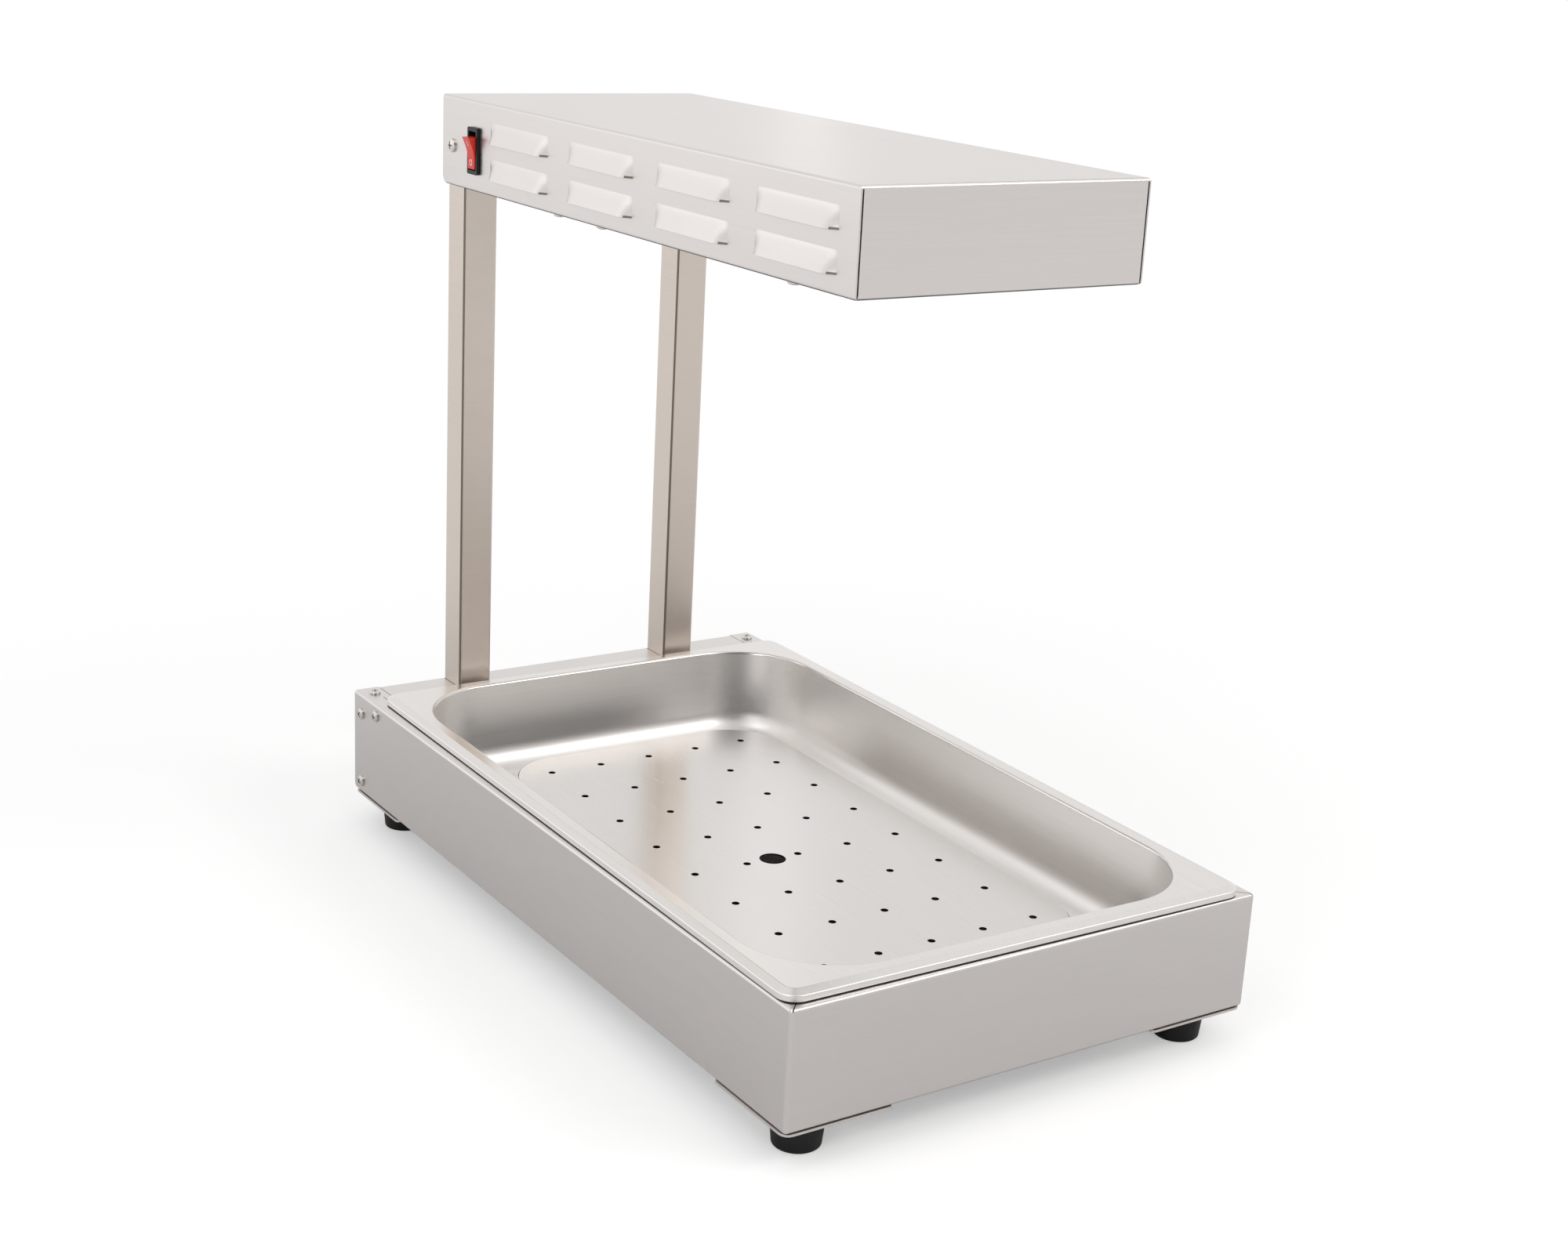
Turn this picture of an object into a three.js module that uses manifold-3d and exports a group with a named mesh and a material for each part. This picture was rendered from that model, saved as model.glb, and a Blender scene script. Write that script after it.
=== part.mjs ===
// French fry dump station: a folded sheet base that holds a loose steam-table pan with a
// perforated drain plate, and a heated hood carried over it by two square posts.
// Millimetres, +Z up, X to the right and Y to the back. The origin is the middle of the
// footprint at counter level.

import * as THREE from 'three';
import { mergeVertices } from 'three/addons/utils/BufferGeometryUtils.js';
import Module from 'manifold-3d';

const wasm = await Module();
wasm.setup();

// Driving dimensions

const gap = 0.3;          // between two pieces that touch
const overrun = 1;        // how far a cutter runs past the face that it cuts
const holePlay = 0.4;     // hole diameter over shank diameter
const degree = Math.PI / 180;

const base = {
  sideMargin: 4.5,        // from the rim of the pan out to the side
  frontMargin: 2.5,       // from the rim of the pan to the front
  rearMargin: 33.5,       // from the rim of the pan to the rear
  height: 74,
  sheet: 1,
  fold: 2.2,              // outside radius of a folded edge
  cornerFold: 2.6,        // outside radius of the upright corners
  sideFlange: 12,
  frontFlange: 11,
  bottomFlange: 15,
  mitreSlit: 0.6,
  mitreEnd: 1.6,          // metal left between the mitre slit and the outer corner
  tabWidth: 18,           // rear end of the side flange, which takes the deck screw
  tabLength: 22,
  seam: 0.5,
  toeRadius: 5,           // lower rear corner of each side
};

const rear = {
  stripDepth: 39,         // deck strip behind the pan
  footDepth: 30,          // bottom flange of the channel
  sideDepth: 46,          // side flange that takes the side screws
};

const foot = {
  height: 21.9,
  topRadius: 16,
  bottomRadius: 14.5,
  edge: 2,
  recessRadius: 7,
  recessDepth: 11,
  sideInset: 27,
  endInset: 27,
};

const footPlate = { width: 72, sheet: 1.5, outerCorner: 6, innerCorner: 3 };

const footBolt = { diameter: 5, headRadius: 4.6, headHeight: 3, nutRadius: 4.4, nutHeight: 4 };

const panScrew = { diameter: 4, headRadius: 4, headHeight: 2.2, length: 8 };

// Side screws of the base: insets from its rear end, depths under the deck, and the lowest
// one's height over the lower edge.
const sideScrew = { rearInset: 12, frontInset: 37, rearDepth: 14, frontDepth: 8, lowHeight: 9 };

const sideScrews = [
  { fromRear: sideScrew.rearInset, up: base.height - sideScrew.rearDepth },
  { fromRear: sideScrew.frontInset, up: base.height - sideScrew.frontDepth },
  { fromRear: sideScrew.rearInset, up: sideScrew.lowHeight },
];

const deckScrew = { fromSide: 10, fromRear: 12.5 };

const post = { width: 25, wall: 1.2, corner: 2, topClearance: 12 };

// Screws through the rear panel into a post.
const postScrew = { lowHeight: 19, topDepth: 20 };

const postScrewHeights = [postScrew.lowHeight, base.height - postScrew.topDepth];

const pan = {
  width: 325,
  length: 530,
  depth: 65,
  sheet: 0.8,
  rimHeight: 6.7,         // over the deck
  lipHeight: 4.1,
  slopeRun: 5,
  rimCorner: 12,
  openingInset: 13.3,
  openingCorner: 59,
  brow: 1.5,              // radius between flange and wall
  wallTaper: 3,           // how far the wall comes in from brow to floor
  floorFillet: 20,
  hemTuck: 1.4,           // the lip's lower edge is turned in by this much
  hemRise: 1,
  shift: -1,              // the loose pan lies a little to the left
  turn: -0.73 * degree,   // the loose pan lies slightly turned in its opening
};

const drain = {
  width: 210,
  length: 400,
  sheet: 1,
  corner: 42,
  below: 33.5,            // from the deck down to its upper face
  offsetY: -3,
  skirtInset: 44,         // the skirts stop this far before the ends
  pitchX: 38.5,
  pitchY: 49,
  columns: 5,
  rows: 8,
  holeDiameter: 4.8,
  fingerDiameter: 17,
  fingerX: -19.2,
  fingerY: -24.5,
};

const head = {
  width: 198,
  length: 494,
  height: 60,
  sheet: 1,
  fold: 2,
  rearOverhang: 5,        // past the rear of the base
  underside: 455,         // over the counter
  flange: 14,
  flangeEnd: 7,           // the side flanges stop this far in front of the posts
  cornerSeam: 0.7,
  heelRadius: 7,          // lower rear corner of each side
};

const louvre = {
  length: 80,
  height: 13,
  depth: 5,
  endRun: 10,
  pitch: 108,
  firstFromRear: 72,      // from the rear end of the hood to the first louvre
  columns: 4,
  rowHeights: [11, 34.5], // lanced edges over the lower edge of the hood
};

const switchMiddle = { fromRear: 49, up: 27 };

const switchBody = {
  bezelWidth: 14.5,
  bezelHeight: 31,
  bezelThickness: 2,
  bezelCorner: 1.5,
  width: 12,
  height: 27,
  depth: 21,
  windowWidth: 10.6,
  windowHeight: 25.6,
  windowDepth: 9,
};

const rocker = {
  width: 10,
  halfLength: 10.7,
  endRise: 2.27,          // the ends stand this far over the valley
  valley: 5,              // from the pivot out to the valley
  skirt: 9.5,             // half length at the pivot
  pivotDepth: 4.2,        // from the bezel face in to the pivot
  tilt: 12 * degree,      // each way from the middle
  pinDiameter: 2.4,
  pinLength: 0.6,
};

const blade = { width: 4.8, thickness: 0.8, length: 8, spacing: 16 };

const headScrew = { diameter: 4, headRadius: 4.75, headHeight: 2.4, length: 10, fromRear: 15.4 };

// Underside screws: distance from the front end of the hood and from its side.
const sideUnderscrews = [337, 281, 67];
const underscrewSideInset = 7;
const frontUnderscrew = { fromFront: 15, fromMiddle: 70 };

const cover = {
  sheet: 1,
  mouthWidth: 110,
  frontMargin: 41,        // front of the hood to the heater's mouth
  rearMargin: 123,        // rear of the hood to the heater's mouth
  mouthCorner: 6,
  rearClearance: 4,
};

const guard = { wire: 2.5, rail: 3, bars: 9, endRoom: 13, landing: 10, railInset: 6, weld: 0.5 };

const reflector = {
  sheet: 0.8,
  landing: 5,             // its mouth is wider than the cover's by this, each way
  sideSlope: 24,
  endSlope: 9,
  height: 36,
  lip: 14,
  corner: 8,
};

const element = { diameter: 8, spacing: 52, height: 12.8, frontInset: 20, tail: 22 };

const hanger = { sheet: 1.2, sideMargin: 7, underElement: 6, footLength: 9, spacing: 180 };

const terminal = { radius: 5.5, length: 10, pinRadius: 2, pinLength: 8 };

const block = {
  width: 44,
  depth: 22,
  height: 16,
  shoulder: 10,
  rib: 8,
  ways: 3,
  wayPitch: 12,
  screwDiameter: 5,
  screwDepth: 4,
  offsetX: 40,
  fromRear: 46,
};

const wire = { diameter: 2.6, sides: 6, steps: 12, run: 12, bend: 6 };

const gland = {
  holeDiameter: 12,
  flangeRadius: 9,
  flangeThickness: 2,
  bore: 7,
  barrel: 5,
  offsetX: 45,
  up: 30,
};

// Facet counts

const foldSteps = 3;
const smallSteps = 2;
const cornerSteps = 8;
const screwSides = 8;
const footSides = 16;
const holeSides = 8;
const toeSides = 24;
const tubeSides = 10;
const smallHoleSides = 8;
const fingerSides = 16;
const bendSteps = 10;
const rodSides = 6;

// Levels and faces worked out from them

const shellBottom = foot.height + gap + footPlate.sheet + gap;
const deck = shellBottom + base.height;
const baseDepth = base.frontMargin + pan.length + base.rearMargin;
const baseWidth = pan.width + base.sideMargin + base.sideMargin;
const baseFront = -baseDepth / 2;
const baseRear = baseDepth / 2;
const baseSide = baseWidth / 2;
const panMiddleY = baseFront + base.frontMargin + pan.length / 2;
const headTop = head.underside + head.height;
const headRear = baseRear + head.rearOverhang;
const headFront = headRear - head.length;
const headSide = head.width / 2;
const postOuter = headSide - head.sheet - gap;
const postMiddleX = postOuter - post.width / 2;
const postRear = baseRear - base.sheet - gap;
const postFront = postRear - post.width;
const postMiddleY = (postFront + postRear) / 2;
const postTop = headTop - post.topClearance;
const coverBottom = head.underside + head.sheet + gap;
const coverTop = coverBottom + cover.sheet;
const coverRear = postFront - cover.rearClearance;
const mouthLength = head.length - cover.frontMargin - cover.rearMargin;
const heaterY = headFront + cover.frontMargin + mouthLength / 2;
const reflectorWidth = cover.mouthWidth + reflector.landing + reflector.landing;
const reflectorLength = mouthLength + reflector.landing + reflector.landing;
const reflectorTopLength = reflectorLength - reflector.endSlope - reflector.endSlope;
const reflectorBottom = coverTop + gap + guard.wire + gap;
const reflectorTop = reflectorBottom + reflector.height;
const elementHeight = reflectorBottom + element.height;
const footprintMiddleY = (baseFront + headRear) / 2;
const switchY = headRear - switchMiddle.fromRear;
const switchZ = head.underside + switchMiddle.up;
const headScrewY = headRear - headScrew.fromRear;

// Materials

const metal = (color, roughness) => new THREE.MeshStandardMaterial({ color, roughness, metalness: 1 });
const matt = (color, roughness) => new THREE.MeshStandardMaterial({ color, roughness, metalness: 0 });

const materials = {
  brushed: metal(0xc9c5c1, 0.38),
  satin: metal(0xd2cdc8, 0.42),
  polished: metal(0xcdbfb2, 0.18),
  mirror: metal(0xdfe0e2, 0.1),
  screw: metal(0xb7b1ab, 0.28),
  sheath: metal(0x6a6661, 0.5),
  zinc: metal(0xa9acae, 0.45),
  copper: metal(0xc58a52, 0.3),
  rubber: matt(0x0c0c0c, 0.7),
  plastic: matt(0x111213, 0.4),
  red: matt(0xd11a14, 0.3),
  ceramic: matt(0xe9e3d6, 0.6),
  wireRed: matt(0x9c1d1a, 0.5),
  wireBlack: matt(0x1a1a1a, 0.5),
  wireWhite: matt(0xe4e2dc, 0.5),
  wireGreen: matt(0x3d8a3a, 0.5),
};

// Solid tools

function solid(geometry) {
  const bare = geometry.index ? geometry.toNonIndexed() : geometry.clone();
  bare.deleteAttribute('normal');
  bare.deleteAttribute('uv');
  const merged = mergeVertices(bare);
  return new wasm.Manifold(new wasm.Mesh({
    numProp: 3,
    vertProperties: new Float32Array(merged.attributes.position.array),
    triVerts: new Uint32Array(merged.index.array),
  }));
}

function geometryOf(manifold) {
  const mesh = manifold.getMesh();
  const geometry = new THREE.BufferGeometry();
  geometry.setAttribute('position', new THREE.BufferAttribute(mesh.vertProperties, 3));
  geometry.setIndex(new THREE.BufferAttribute(mesh.triVerts, 1));
  geometry.computeVertexNormals();
  return geometry;
}

function piece(name, manifold, material) {
  const mesh = new THREE.Mesh(geometryOf(manifold), material);
  mesh.name = name;
  return mesh;
}

const cutAll = (body, cutters) => cutters.reduce((left, cutter) => left.subtract(cutter), body);
const joinAll = (parts) => parts.reduce((whole, part) => whole.add(part));

function box(x0, x1, y0, y1, z0, z1) {
  const geometry = new THREE.BoxGeometry(x1 - x0, y1 - y0, z1 - z0);
  geometry.translate((x0 + x1) / 2, (y0 + y1) / 2, (z0 + z1) / 2);
  return solid(geometry);
}

// A rod along an axis from one place to another on it.
function rod(axis, radius, middle, from, to, sides) {
  const geometry = new THREE.CylinderGeometry(radius, radius, to - from, sides);
  if (axis === 'x') geometry.rotateZ(Math.PI / 2);
  if (axis === 'z') geometry.rotateX(Math.PI / 2);
  const place = middle.clone();
  place[axis] = (from + to) / 2;
  geometry.translate(place.x, place.y, place.z);
  return solid(geometry);
}

function roundedRectangle(width, depth, corners) {
  const [w, d] = [width / 2, depth / 2];
  const radii = Array.isArray(corners) ? corners : [corners, corners, corners, corners];
  const [frontLeft, frontRight, rearRight, rearLeft] = radii;
  const shape = new THREE.Shape();
  const corner = (x, y, radius, start) => {
    const [cx, cy] = [x - Math.sign(x) * radius, y - Math.sign(y) * radius];
    if (radius > 0) shape.absarc(cx, cy, radius, start, start + Math.PI / 2, false);
    else shape.lineTo(x, y);
  };
  shape.moveTo(0, -d);
  corner(w, -d, frontRight, -Math.PI / 2);
  corner(w, d, rearRight, 0);
  corner(-w, d, rearLeft, Math.PI / 2);
  corner(-w, -d, frontLeft, Math.PI);
  shape.closePath();
  return shape;
}

function slab(shape, z0, z1, curveSegments = foldSteps) {
  const depth = z1 - z0;
  const geometry = new THREE.ExtrudeGeometry(shape, { depth, bevelEnabled: false, curveSegments });
  geometry.translate(0, 0, z0);
  return solid(geometry);
}

// A block whose upper and lower edges are rounded as folded sheet is.
function foldedBlock(width, depth, z0, z1, corner, fold) {
  const geometry = new THREE.ExtrudeGeometry(roundedRectangle(width, depth, corner), {
    depth: z1 - z0 - fold - fold,
    bevelEnabled: true,
    bevelThickness: fold,
    bevelSize: fold,
    bevelOffset: -fold,
    bevelSegments: foldSteps,
    curveSegments: foldSteps,
  });
  geometry.translate(0, 0, z0 + fold);
  return solid(geometry);
}

// The section of a bent sheet: its middle line has rounded bends, and half the sheet on each side.
function bentSheet(corners, sheet, bend) {
  const line = [];
  corners.forEach((corner, i) => {
    if (i === 0 || i === corners.length - 1) {
      const other = corners[i === 0 ? 1 : i - 1];
      const along = other.clone().sub(corner).normalize();
      line.push({ point: corner, tangent: i === 0 ? along : along.clone().negate() });
      return;
    }
    const into = corner.clone().sub(corners[i - 1]).normalize();
    const out = corners[i + 1].clone().sub(corner).normalize();
    const turn = Math.atan2(into.cross(out), into.dot(out));
    const reach = bend * Math.tan(Math.abs(turn) / 2);
    const start = corner.clone().addScaledVector(into, -reach);
    const side = new THREE.Vector2(-into.y, into.x).multiplyScalar(Math.sign(turn));
    const centre = start.clone().addScaledVector(side, bend);
    for (let step = 0; step <= foldSteps; step += 1) {
      const angle = (turn * step) / foldSteps;
      const arm = start.clone().sub(centre).rotateAround(new THREE.Vector2(), angle);
      line.push({
        point: centre.clone().add(arm),
        tangent: into.clone().rotateAround(new THREE.Vector2(), angle),
      });
    }
  });
  const offset = ({ point, tangent }, by) => (
    new THREE.Vector2(point.x - tangent.y * by, point.y + tangent.x * by)
  );
  const left = line.map((station) => offset(station, sheet / 2));
  const right = line.map((station) => offset(station, -sheet / 2)).reverse();
  return new THREE.Shape([...left, ...right]);
}

// Extrudes a section drawn in Y and Z along X.
function alongX(shape, x0, x1) {
  const geometry = new THREE.ExtrudeGeometry(shape, { depth: x1 - x0, bevelEnabled: false });
  geometry.rotateX(Math.PI / 2);
  geometry.rotateZ(Math.PI / 2);
  geometry.translate(x0, 0, 0);
  return solid(geometry);
}

// Turns a section drawn as radius and height round the Z axis.
function turned(points, sides) {
  return solid(new THREE.LatheGeometry(points.map(([r, z]) => new THREE.Vector2(r, z)), sides)
    .rotateX(Math.PI / 2));
}

// One rounded rectangle of a loft, with as many points whatever its size.
function ring(halfWidth, halfLength, corner, z) {
  const points = [];
  [[1, -1, -1], [1, 1, 0], [-1, 1, 1], [-1, -1, 2]].forEach(([sideX, sideY, quarter]) => {
    const cx = sideX * (halfWidth - corner);
    const cy = sideY * (halfLength - corner);
    for (let step = 0; step <= cornerSteps; step += 1) {
      const angle = (quarter + step / cornerSteps) * (Math.PI / 2);
      points.push(new THREE.Vector3(cx + corner * Math.cos(angle), cy + corner * Math.sin(angle), z));
    }
  });
  return points;
}

// Skins a row of rings into one closed body, with a flat end on the first and the last.
function loft(rings) {
  const size = rings[0].length;
  const position = rings.flat().flatMap((p) => [p.x, p.y, p.z]);
  const index = [];
  for (let r = 0; r < rings.length - 1; r += 1) {
    for (let i = 0; i < size; i += 1) {
      const [a, b] = [r * size + i, r * size + ((i + 1) % size)];
      index.push(a, b, a + size, b, b + size, a + size);
    }
  }
  const last = (rings.length - 1) * size;
  for (let i = 1; i < size - 1; i += 1) {
    index.push(0, i + 1, i, last, last + i, last + i + 1);
  }
  const geometry = new THREE.BufferGeometry();
  geometry.setAttribute('position', new THREE.Float32BufferAttribute(position, 3));
  geometry.setIndex(index);
  return solid(geometry);
}

// A round tube through a row of points, its section carried along without twist.
function roundTube(points, radius, sides) {
  const tangents = points.map((point, i) => {
    const before = points[Math.max(i - 1, 0)];
    const after = points[Math.min(i + 1, points.length - 1)];
    return after.clone().sub(before).normalize();
  });
  let normal = new THREE.Vector3(0, 0, 1);
  const rings = points.map((point, i) => {
    normal = normal.clone().addScaledVector(tangents[i], -normal.dot(tangents[i])).normalize();
    const binormal = tangents[i].clone().cross(normal);
    return Array.from({ length: sides }, (_, k) => {
      const angle = (2 * Math.PI * k) / sides;
      return point.clone()
        .addScaledVector(normal, radius * Math.cos(angle))
        .addScaledVector(binormal, radius * Math.sin(angle));
    });
  });
  return loft(rings);
}

// Folded base

const sideScrewPlaces = sideScrews.map(({ fromRear, up }) => (
  new THREE.Vector3(0, baseRear - fromRear, shellBottom + up)
));
const deckScrewPlace = (side) => (
  new THREE.Vector3(side * (baseSide - deckScrew.fromSide), baseRear - deckScrew.fromRear, deck)
);
const tabFront = baseRear - base.tabLength;

function deckOpening(halfWidth, tabHalfWidth, front, tabStart) {
  const back = baseRear + overrun;
  return new THREE.Shape([
    [-halfWidth, front], [halfWidth, front], [halfWidth, tabStart], [tabHalfWidth, tabStart],
    [tabHalfWidth, back], [-tabHalfWidth, back], [-tabHalfWidth, tabStart], [-halfWidth, tabStart],
  ].map(([x, y]) => new THREE.Vector2(x, y)));
}

// The folded outline of the base, smaller all round by inset and longer than the base at the rear.
function baseBlock(inset, extra) {
  return foldedBlock(
    baseWidth - inset - inset,
    baseDepth + extra - inset - inset,
    shellBottom + inset,
    deck - inset,
    base.cornerFold - inset,
    base.fold - inset,
  ).translate([0, extra / 2, 0]);
}

function baseShell() {
  const { sheet, fold } = base;
  const extra = fold + overrun;           // cut off again at the open rear
  const outer = baseBlock(0, extra);
  const inner = baseBlock(sheet, extra);
  const halfOpening = baseSide - base.sideFlange;
  const halfUnder = baseSide - base.bottomFlange;
  const holeRadius = (panScrew.diameter + holePlay) / 2;
  const cutters = [
    inner,
    slab(deckOpening(halfOpening, baseSide - base.tabWidth, baseFront + base.frontFlange, tabFront),
      deck - sheet - overrun, deck + overrun),
    box(-halfUnder, halfUnder, baseFront + base.bottomFlange, baseRear + overrun,
      shellBottom - overrun, shellBottom + sheet + overrun),
    box(-baseSide - overrun, baseSide + overrun, baseRear, baseRear + extra + overrun,
      shellBottom - overrun, deck + overrun),
    toeCutter(base.toeRadius, baseSide, baseRear, shellBottom),
  ];
  for (const side of [-1, 1]) {
    cutters.push(mitreCutter(side));
    cutters.push(rod('z', holeRadius, deckScrewPlace(side), deck - sheet - overrun, deck + overrun,
      holeSides));
    for (const place of sideScrewPlaces) {
      const wall = side * (baseSide - sheet / 2);
      cutters.push(rod('x', holeRadius, place, wall - sheet, wall + sheet, holeSides));
    }
  }
  return cutAll(outer, cutters);
}

// What a rounded lower rear corner leaves out of an upright side.
function toeCutter(radius, side, back, bottom) {
  const past = side + overrun;
  const corner = box(-past, past, back - radius, back + overrun, bottom - overrun, bottom + radius);
  const round = rod('x', radius, new THREE.Vector3(0, back - radius, bottom + radius),
    -past - overrun, past + overrun, toeSides);
  return corner.subtract(round);
}

// The slit between the mitred ends of the front and side flanges.
function mitreCutter(side) {
  const from = new THREE.Vector2(
    baseSide - base.sideFlange - overrun,
    baseFront + base.frontFlange + overrun,
  );
  const reach = Math.max(base.sideFlange, base.frontFlange) + overrun - base.mitreEnd;
  const length = reach * Math.SQRT2;
  const geometry = new THREE.BoxGeometry(length, base.mitreSlit, base.sheet + base.fold);
  geometry.translate(length / 2, 0, 0);
  geometry.rotateZ(-Math.PI / 4);
  geometry.translate(from.x, from.y, deck);
  if (side < 0) geometry.scale(-1, 1, 1);
  return side < 0 ? mirrored(geometry) : solid(geometry);
}

// A geometry that a negative scale turned inside out, put right again.
function mirrored(geometry) {
  const index = geometry.index.array;
  for (let i = 0; i < index.length; i += 3) {
    [index[i], index[i + 1]] = [index[i + 1], index[i]];
  }
  return solid(geometry);
}

const postFaceHole = (post.width + gap + gap) / 2;

function rearPanel() {
  const { sheet, fold } = base;
  const half = baseSide - sheet - gap;
  const middle = sheet / 2;
  const corners = [
    [baseRear - rear.stripDepth, deck - middle],
    [baseRear - middle, deck - middle],
    [baseRear - middle, shellBottom + middle],
    [baseRear - rear.footDepth, shellBottom + middle],
  ].map(([y, z]) => new THREE.Vector2(y, z));
  const channel = alongX(bentSheet(corners, sheet, fold - middle), -half, half);
  const underTab = deck - sheet - gap;
  const holeRadius = (panScrew.diameter + holePlay) / 2;
  const past = baseSide + overrun;
  const back = baseRear + overrun;
  const room = joinAll([
    baseBlock(sheet + gap, fold + fold),
    box(base.sideFlange + base.seam - baseSide, baseSide - base.sideFlange - base.seam,
      baseRear - rear.stripDepth - overrun, tabFront, underTab - sheet, deck + overrun),
    box(base.tabWidth + base.seam - baseSide, baseSide - base.tabWidth - base.seam,
      tabFront - base.seam, back, underTab - sheet, deck + overrun),
    box(base.bottomFlange + base.seam - baseSide, baseSide - base.bottomFlange - base.seam,
      baseRear - rear.footDepth - overrun, back, shellBottom - overrun, shellBottom + sheet + sheet),
  ]);
  const parts = [channel];
  const betweenToes = box(base.toeRadius - half, half - base.toeRadius, 0, back + overrun,
    shellBottom - overrun - overrun, deck);
  const cutters = [toeCutter(base.toeRadius, past, baseRear, shellBottom).subtract(betweenToes)];
  for (const side of [-1, 1]) {
    const span = (from, to) => (side > 0 ? [from, to] : [-to, -from]);
    parts.push(box(...span(half - sheet, half), baseRear - rear.sideDepth, baseRear - middle,
      shellBottom, deck - sheet));
    parts.push(box(...span(baseSide - base.tabWidth, half), tabFront, baseRear - middle,
      underTab - sheet, underTab));
    cutters.push(box(side * postMiddleX - postFaceHole, side * postMiddleX + postFaceHole,
      postFront - gap, postRear + gap, deck - sheet - fold, deck + overrun));
    for (const up of postScrewHeights) {
      cutters.push(rod('y', holeRadius, new THREE.Vector3(side * postMiddleX, 0, shellBottom + up),
        baseRear - sheet - overrun, back, holeSides));
    }
    for (const place of sideScrewPlaces) {
      cutters.push(rod('x', holeRadius, place, side * half - sheet - overrun,
        side * half + sheet + overrun, holeSides));
    }
    cutters.push(rod('z', holeRadius, deckScrewPlace(side), underTab - sheet - overrun,
      underTab + overrun, holeSides));
    const footBoltPlace = new THREE.Vector3(
      side * (baseSide - foot.sideInset),
      baseRear - foot.endInset,
      0,
    );
    cutters.push(rod('z', footBolt.nutRadius + gap + gap, footBoltPlace, shellBottom - overrun,
      shellBottom + sheet + overrun, holeSides));
  }
  return cutAll(joinAll(parts).intersect(room), cutters);
}

// Feet

const footPlaces = [-1, 1].flatMap((sideX) => [-1, 1].map((sideY) => ({
  name: `${sideY < 0 ? 'front' : 'rear'}_${sideX < 0 ? 'left' : 'right'}`,
  sideX,
  sideY,
  x: sideX * (baseSide - foot.sideInset),
  y: sideY * (baseRear - foot.endInset),
})));

function rubberFoot({ x, y }) {
  const bore = (footBolt.diameter + holePlay) / 2;
  return turned([
    [bore, foot.recessDepth],
    [foot.recessRadius, foot.recessDepth],
    [foot.recessRadius, 0],
    [foot.bottomRadius - foot.edge, 0],
    [foot.bottomRadius, foot.edge],
    [foot.topRadius, foot.height - foot.edge],
    [foot.topRadius, foot.height],
    [bore, foot.height],
    [bore, foot.recessDepth],
  ], footSides).translate([x, y, 0]);
}

function footBoltSolid({ x, y }) {
  const radius = footBolt.diameter / 2;
  const seat = foot.recessDepth - gap;
  const plateTop = shellBottom - gap;
  const nutBottom = plateTop + gap;
  const nutTop = nutBottom + footBolt.nutHeight;
  const bolt = turned([
    [0, seat - footBolt.headHeight],
    [footBolt.headRadius, seat - footBolt.headHeight],
    [footBolt.headRadius, seat],
    [radius, seat],
    [radius, nutTop + overrun],
    [0, nutTop + overrun],
  ], screwSides);
  const nut = rod('z', footBolt.nutRadius, new THREE.Vector3(), nutBottom, nutTop, rodSides);
  return bolt.add(nut).translate([x, y, 0]);
}

function footPlateSolid({ sideX, sideY, x, y }) {
  const { width, sheet, outerCorner, innerCorner } = footPlate;
  const corners = [[-1, -1], [1, -1], [1, 1], [-1, 1]]
    .map(([cx, cy]) => (cx === sideX && cy === sideY ? outerCorner : innerCorner));
  const bottom = foot.height + gap;
  const plate = slab(roundedRectangle(width, width, corners), bottom, bottom + sheet, smallSteps)
    .translate([sideX * (baseSide - width / 2), sideY * (baseRear - width / 2), 0]);
  return plate.subtract(rod('z', (footBolt.diameter + holePlay) / 2, new THREE.Vector3(x, y, 0),
    bottom - overrun, bottom + sheet + overrun, holeSides));
}

// Pan-head screw that points along -Z, with the underside of its head a gap over the origin.
function screwSolid({ diameter, headRadius, headHeight, length }) {
  const crownShare = 0.62;
  const riseShare = 0.7;
  return turned([
    [0, -length],
    [diameter / 2, -length],
    [diameter / 2, gap],
    [headRadius, gap],
    [headRadius * crownShare, gap + headHeight * riseShare],
    [0, gap + headHeight],
  ], screwSides);
}

function placedScrew(name, size, place, direction) {
  const mesh = piece(name, screwSolid(size), materials.screw);
  mesh.position.copy(place);
  mesh.quaternion.setFromUnitVectors(new THREE.Vector3(0, 0, 1), direction);
  return mesh;
}

// Posts

function postSolid(side) {
  const inner = post.width - post.wall - post.wall;
  const bottom = shellBottom + base.fold + gap;
  const outside = roundedRectangle(post.width, post.width, post.corner);
  const inside = roundedRectangle(inner, inner, post.corner - post.wall);
  const tube = slab(outside, bottom, postTop, smallSteps)
    .subtract(slab(inside, bottom - overrun, postTop + overrun, smallSteps));
  const holeRadius = (panScrew.diameter + holePlay) / 2;
  const rearFace = post.width / 2;
  const cutters = postScrewHeights.map((up) => rod('y', holeRadius,
    new THREE.Vector3(0, 0, shellBottom + up), rearFace - post.wall - overrun, rearFace + overrun,
    holeSides));
  const outerFace = side * (post.width - post.wall) / 2;
  const headPlace = new THREE.Vector3(0, headScrewY - postMiddleY, switchZ);
  cutters.push(rod('x', (headScrew.diameter + holePlay) / 2, headPlace, outerFace - post.wall,
    outerFace + post.wall, holeSides));
  return cutAll(tube, cutters).translate([side * postMiddleX, postMiddleY, 0]);
}

// Steam-table pan, drawn round its own middle with the deck at zero

function panRing(inset, z) {
  const { width, length, rimCorner, slopeRun, openingInset, openingCorner } = pan;
  const corner = inset <= slopeRun ? rimCorner - inset : openingCorner + (openingInset - inset);
  return ring(width / 2 - inset, length / 2 - inset, corner, z);
}

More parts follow.
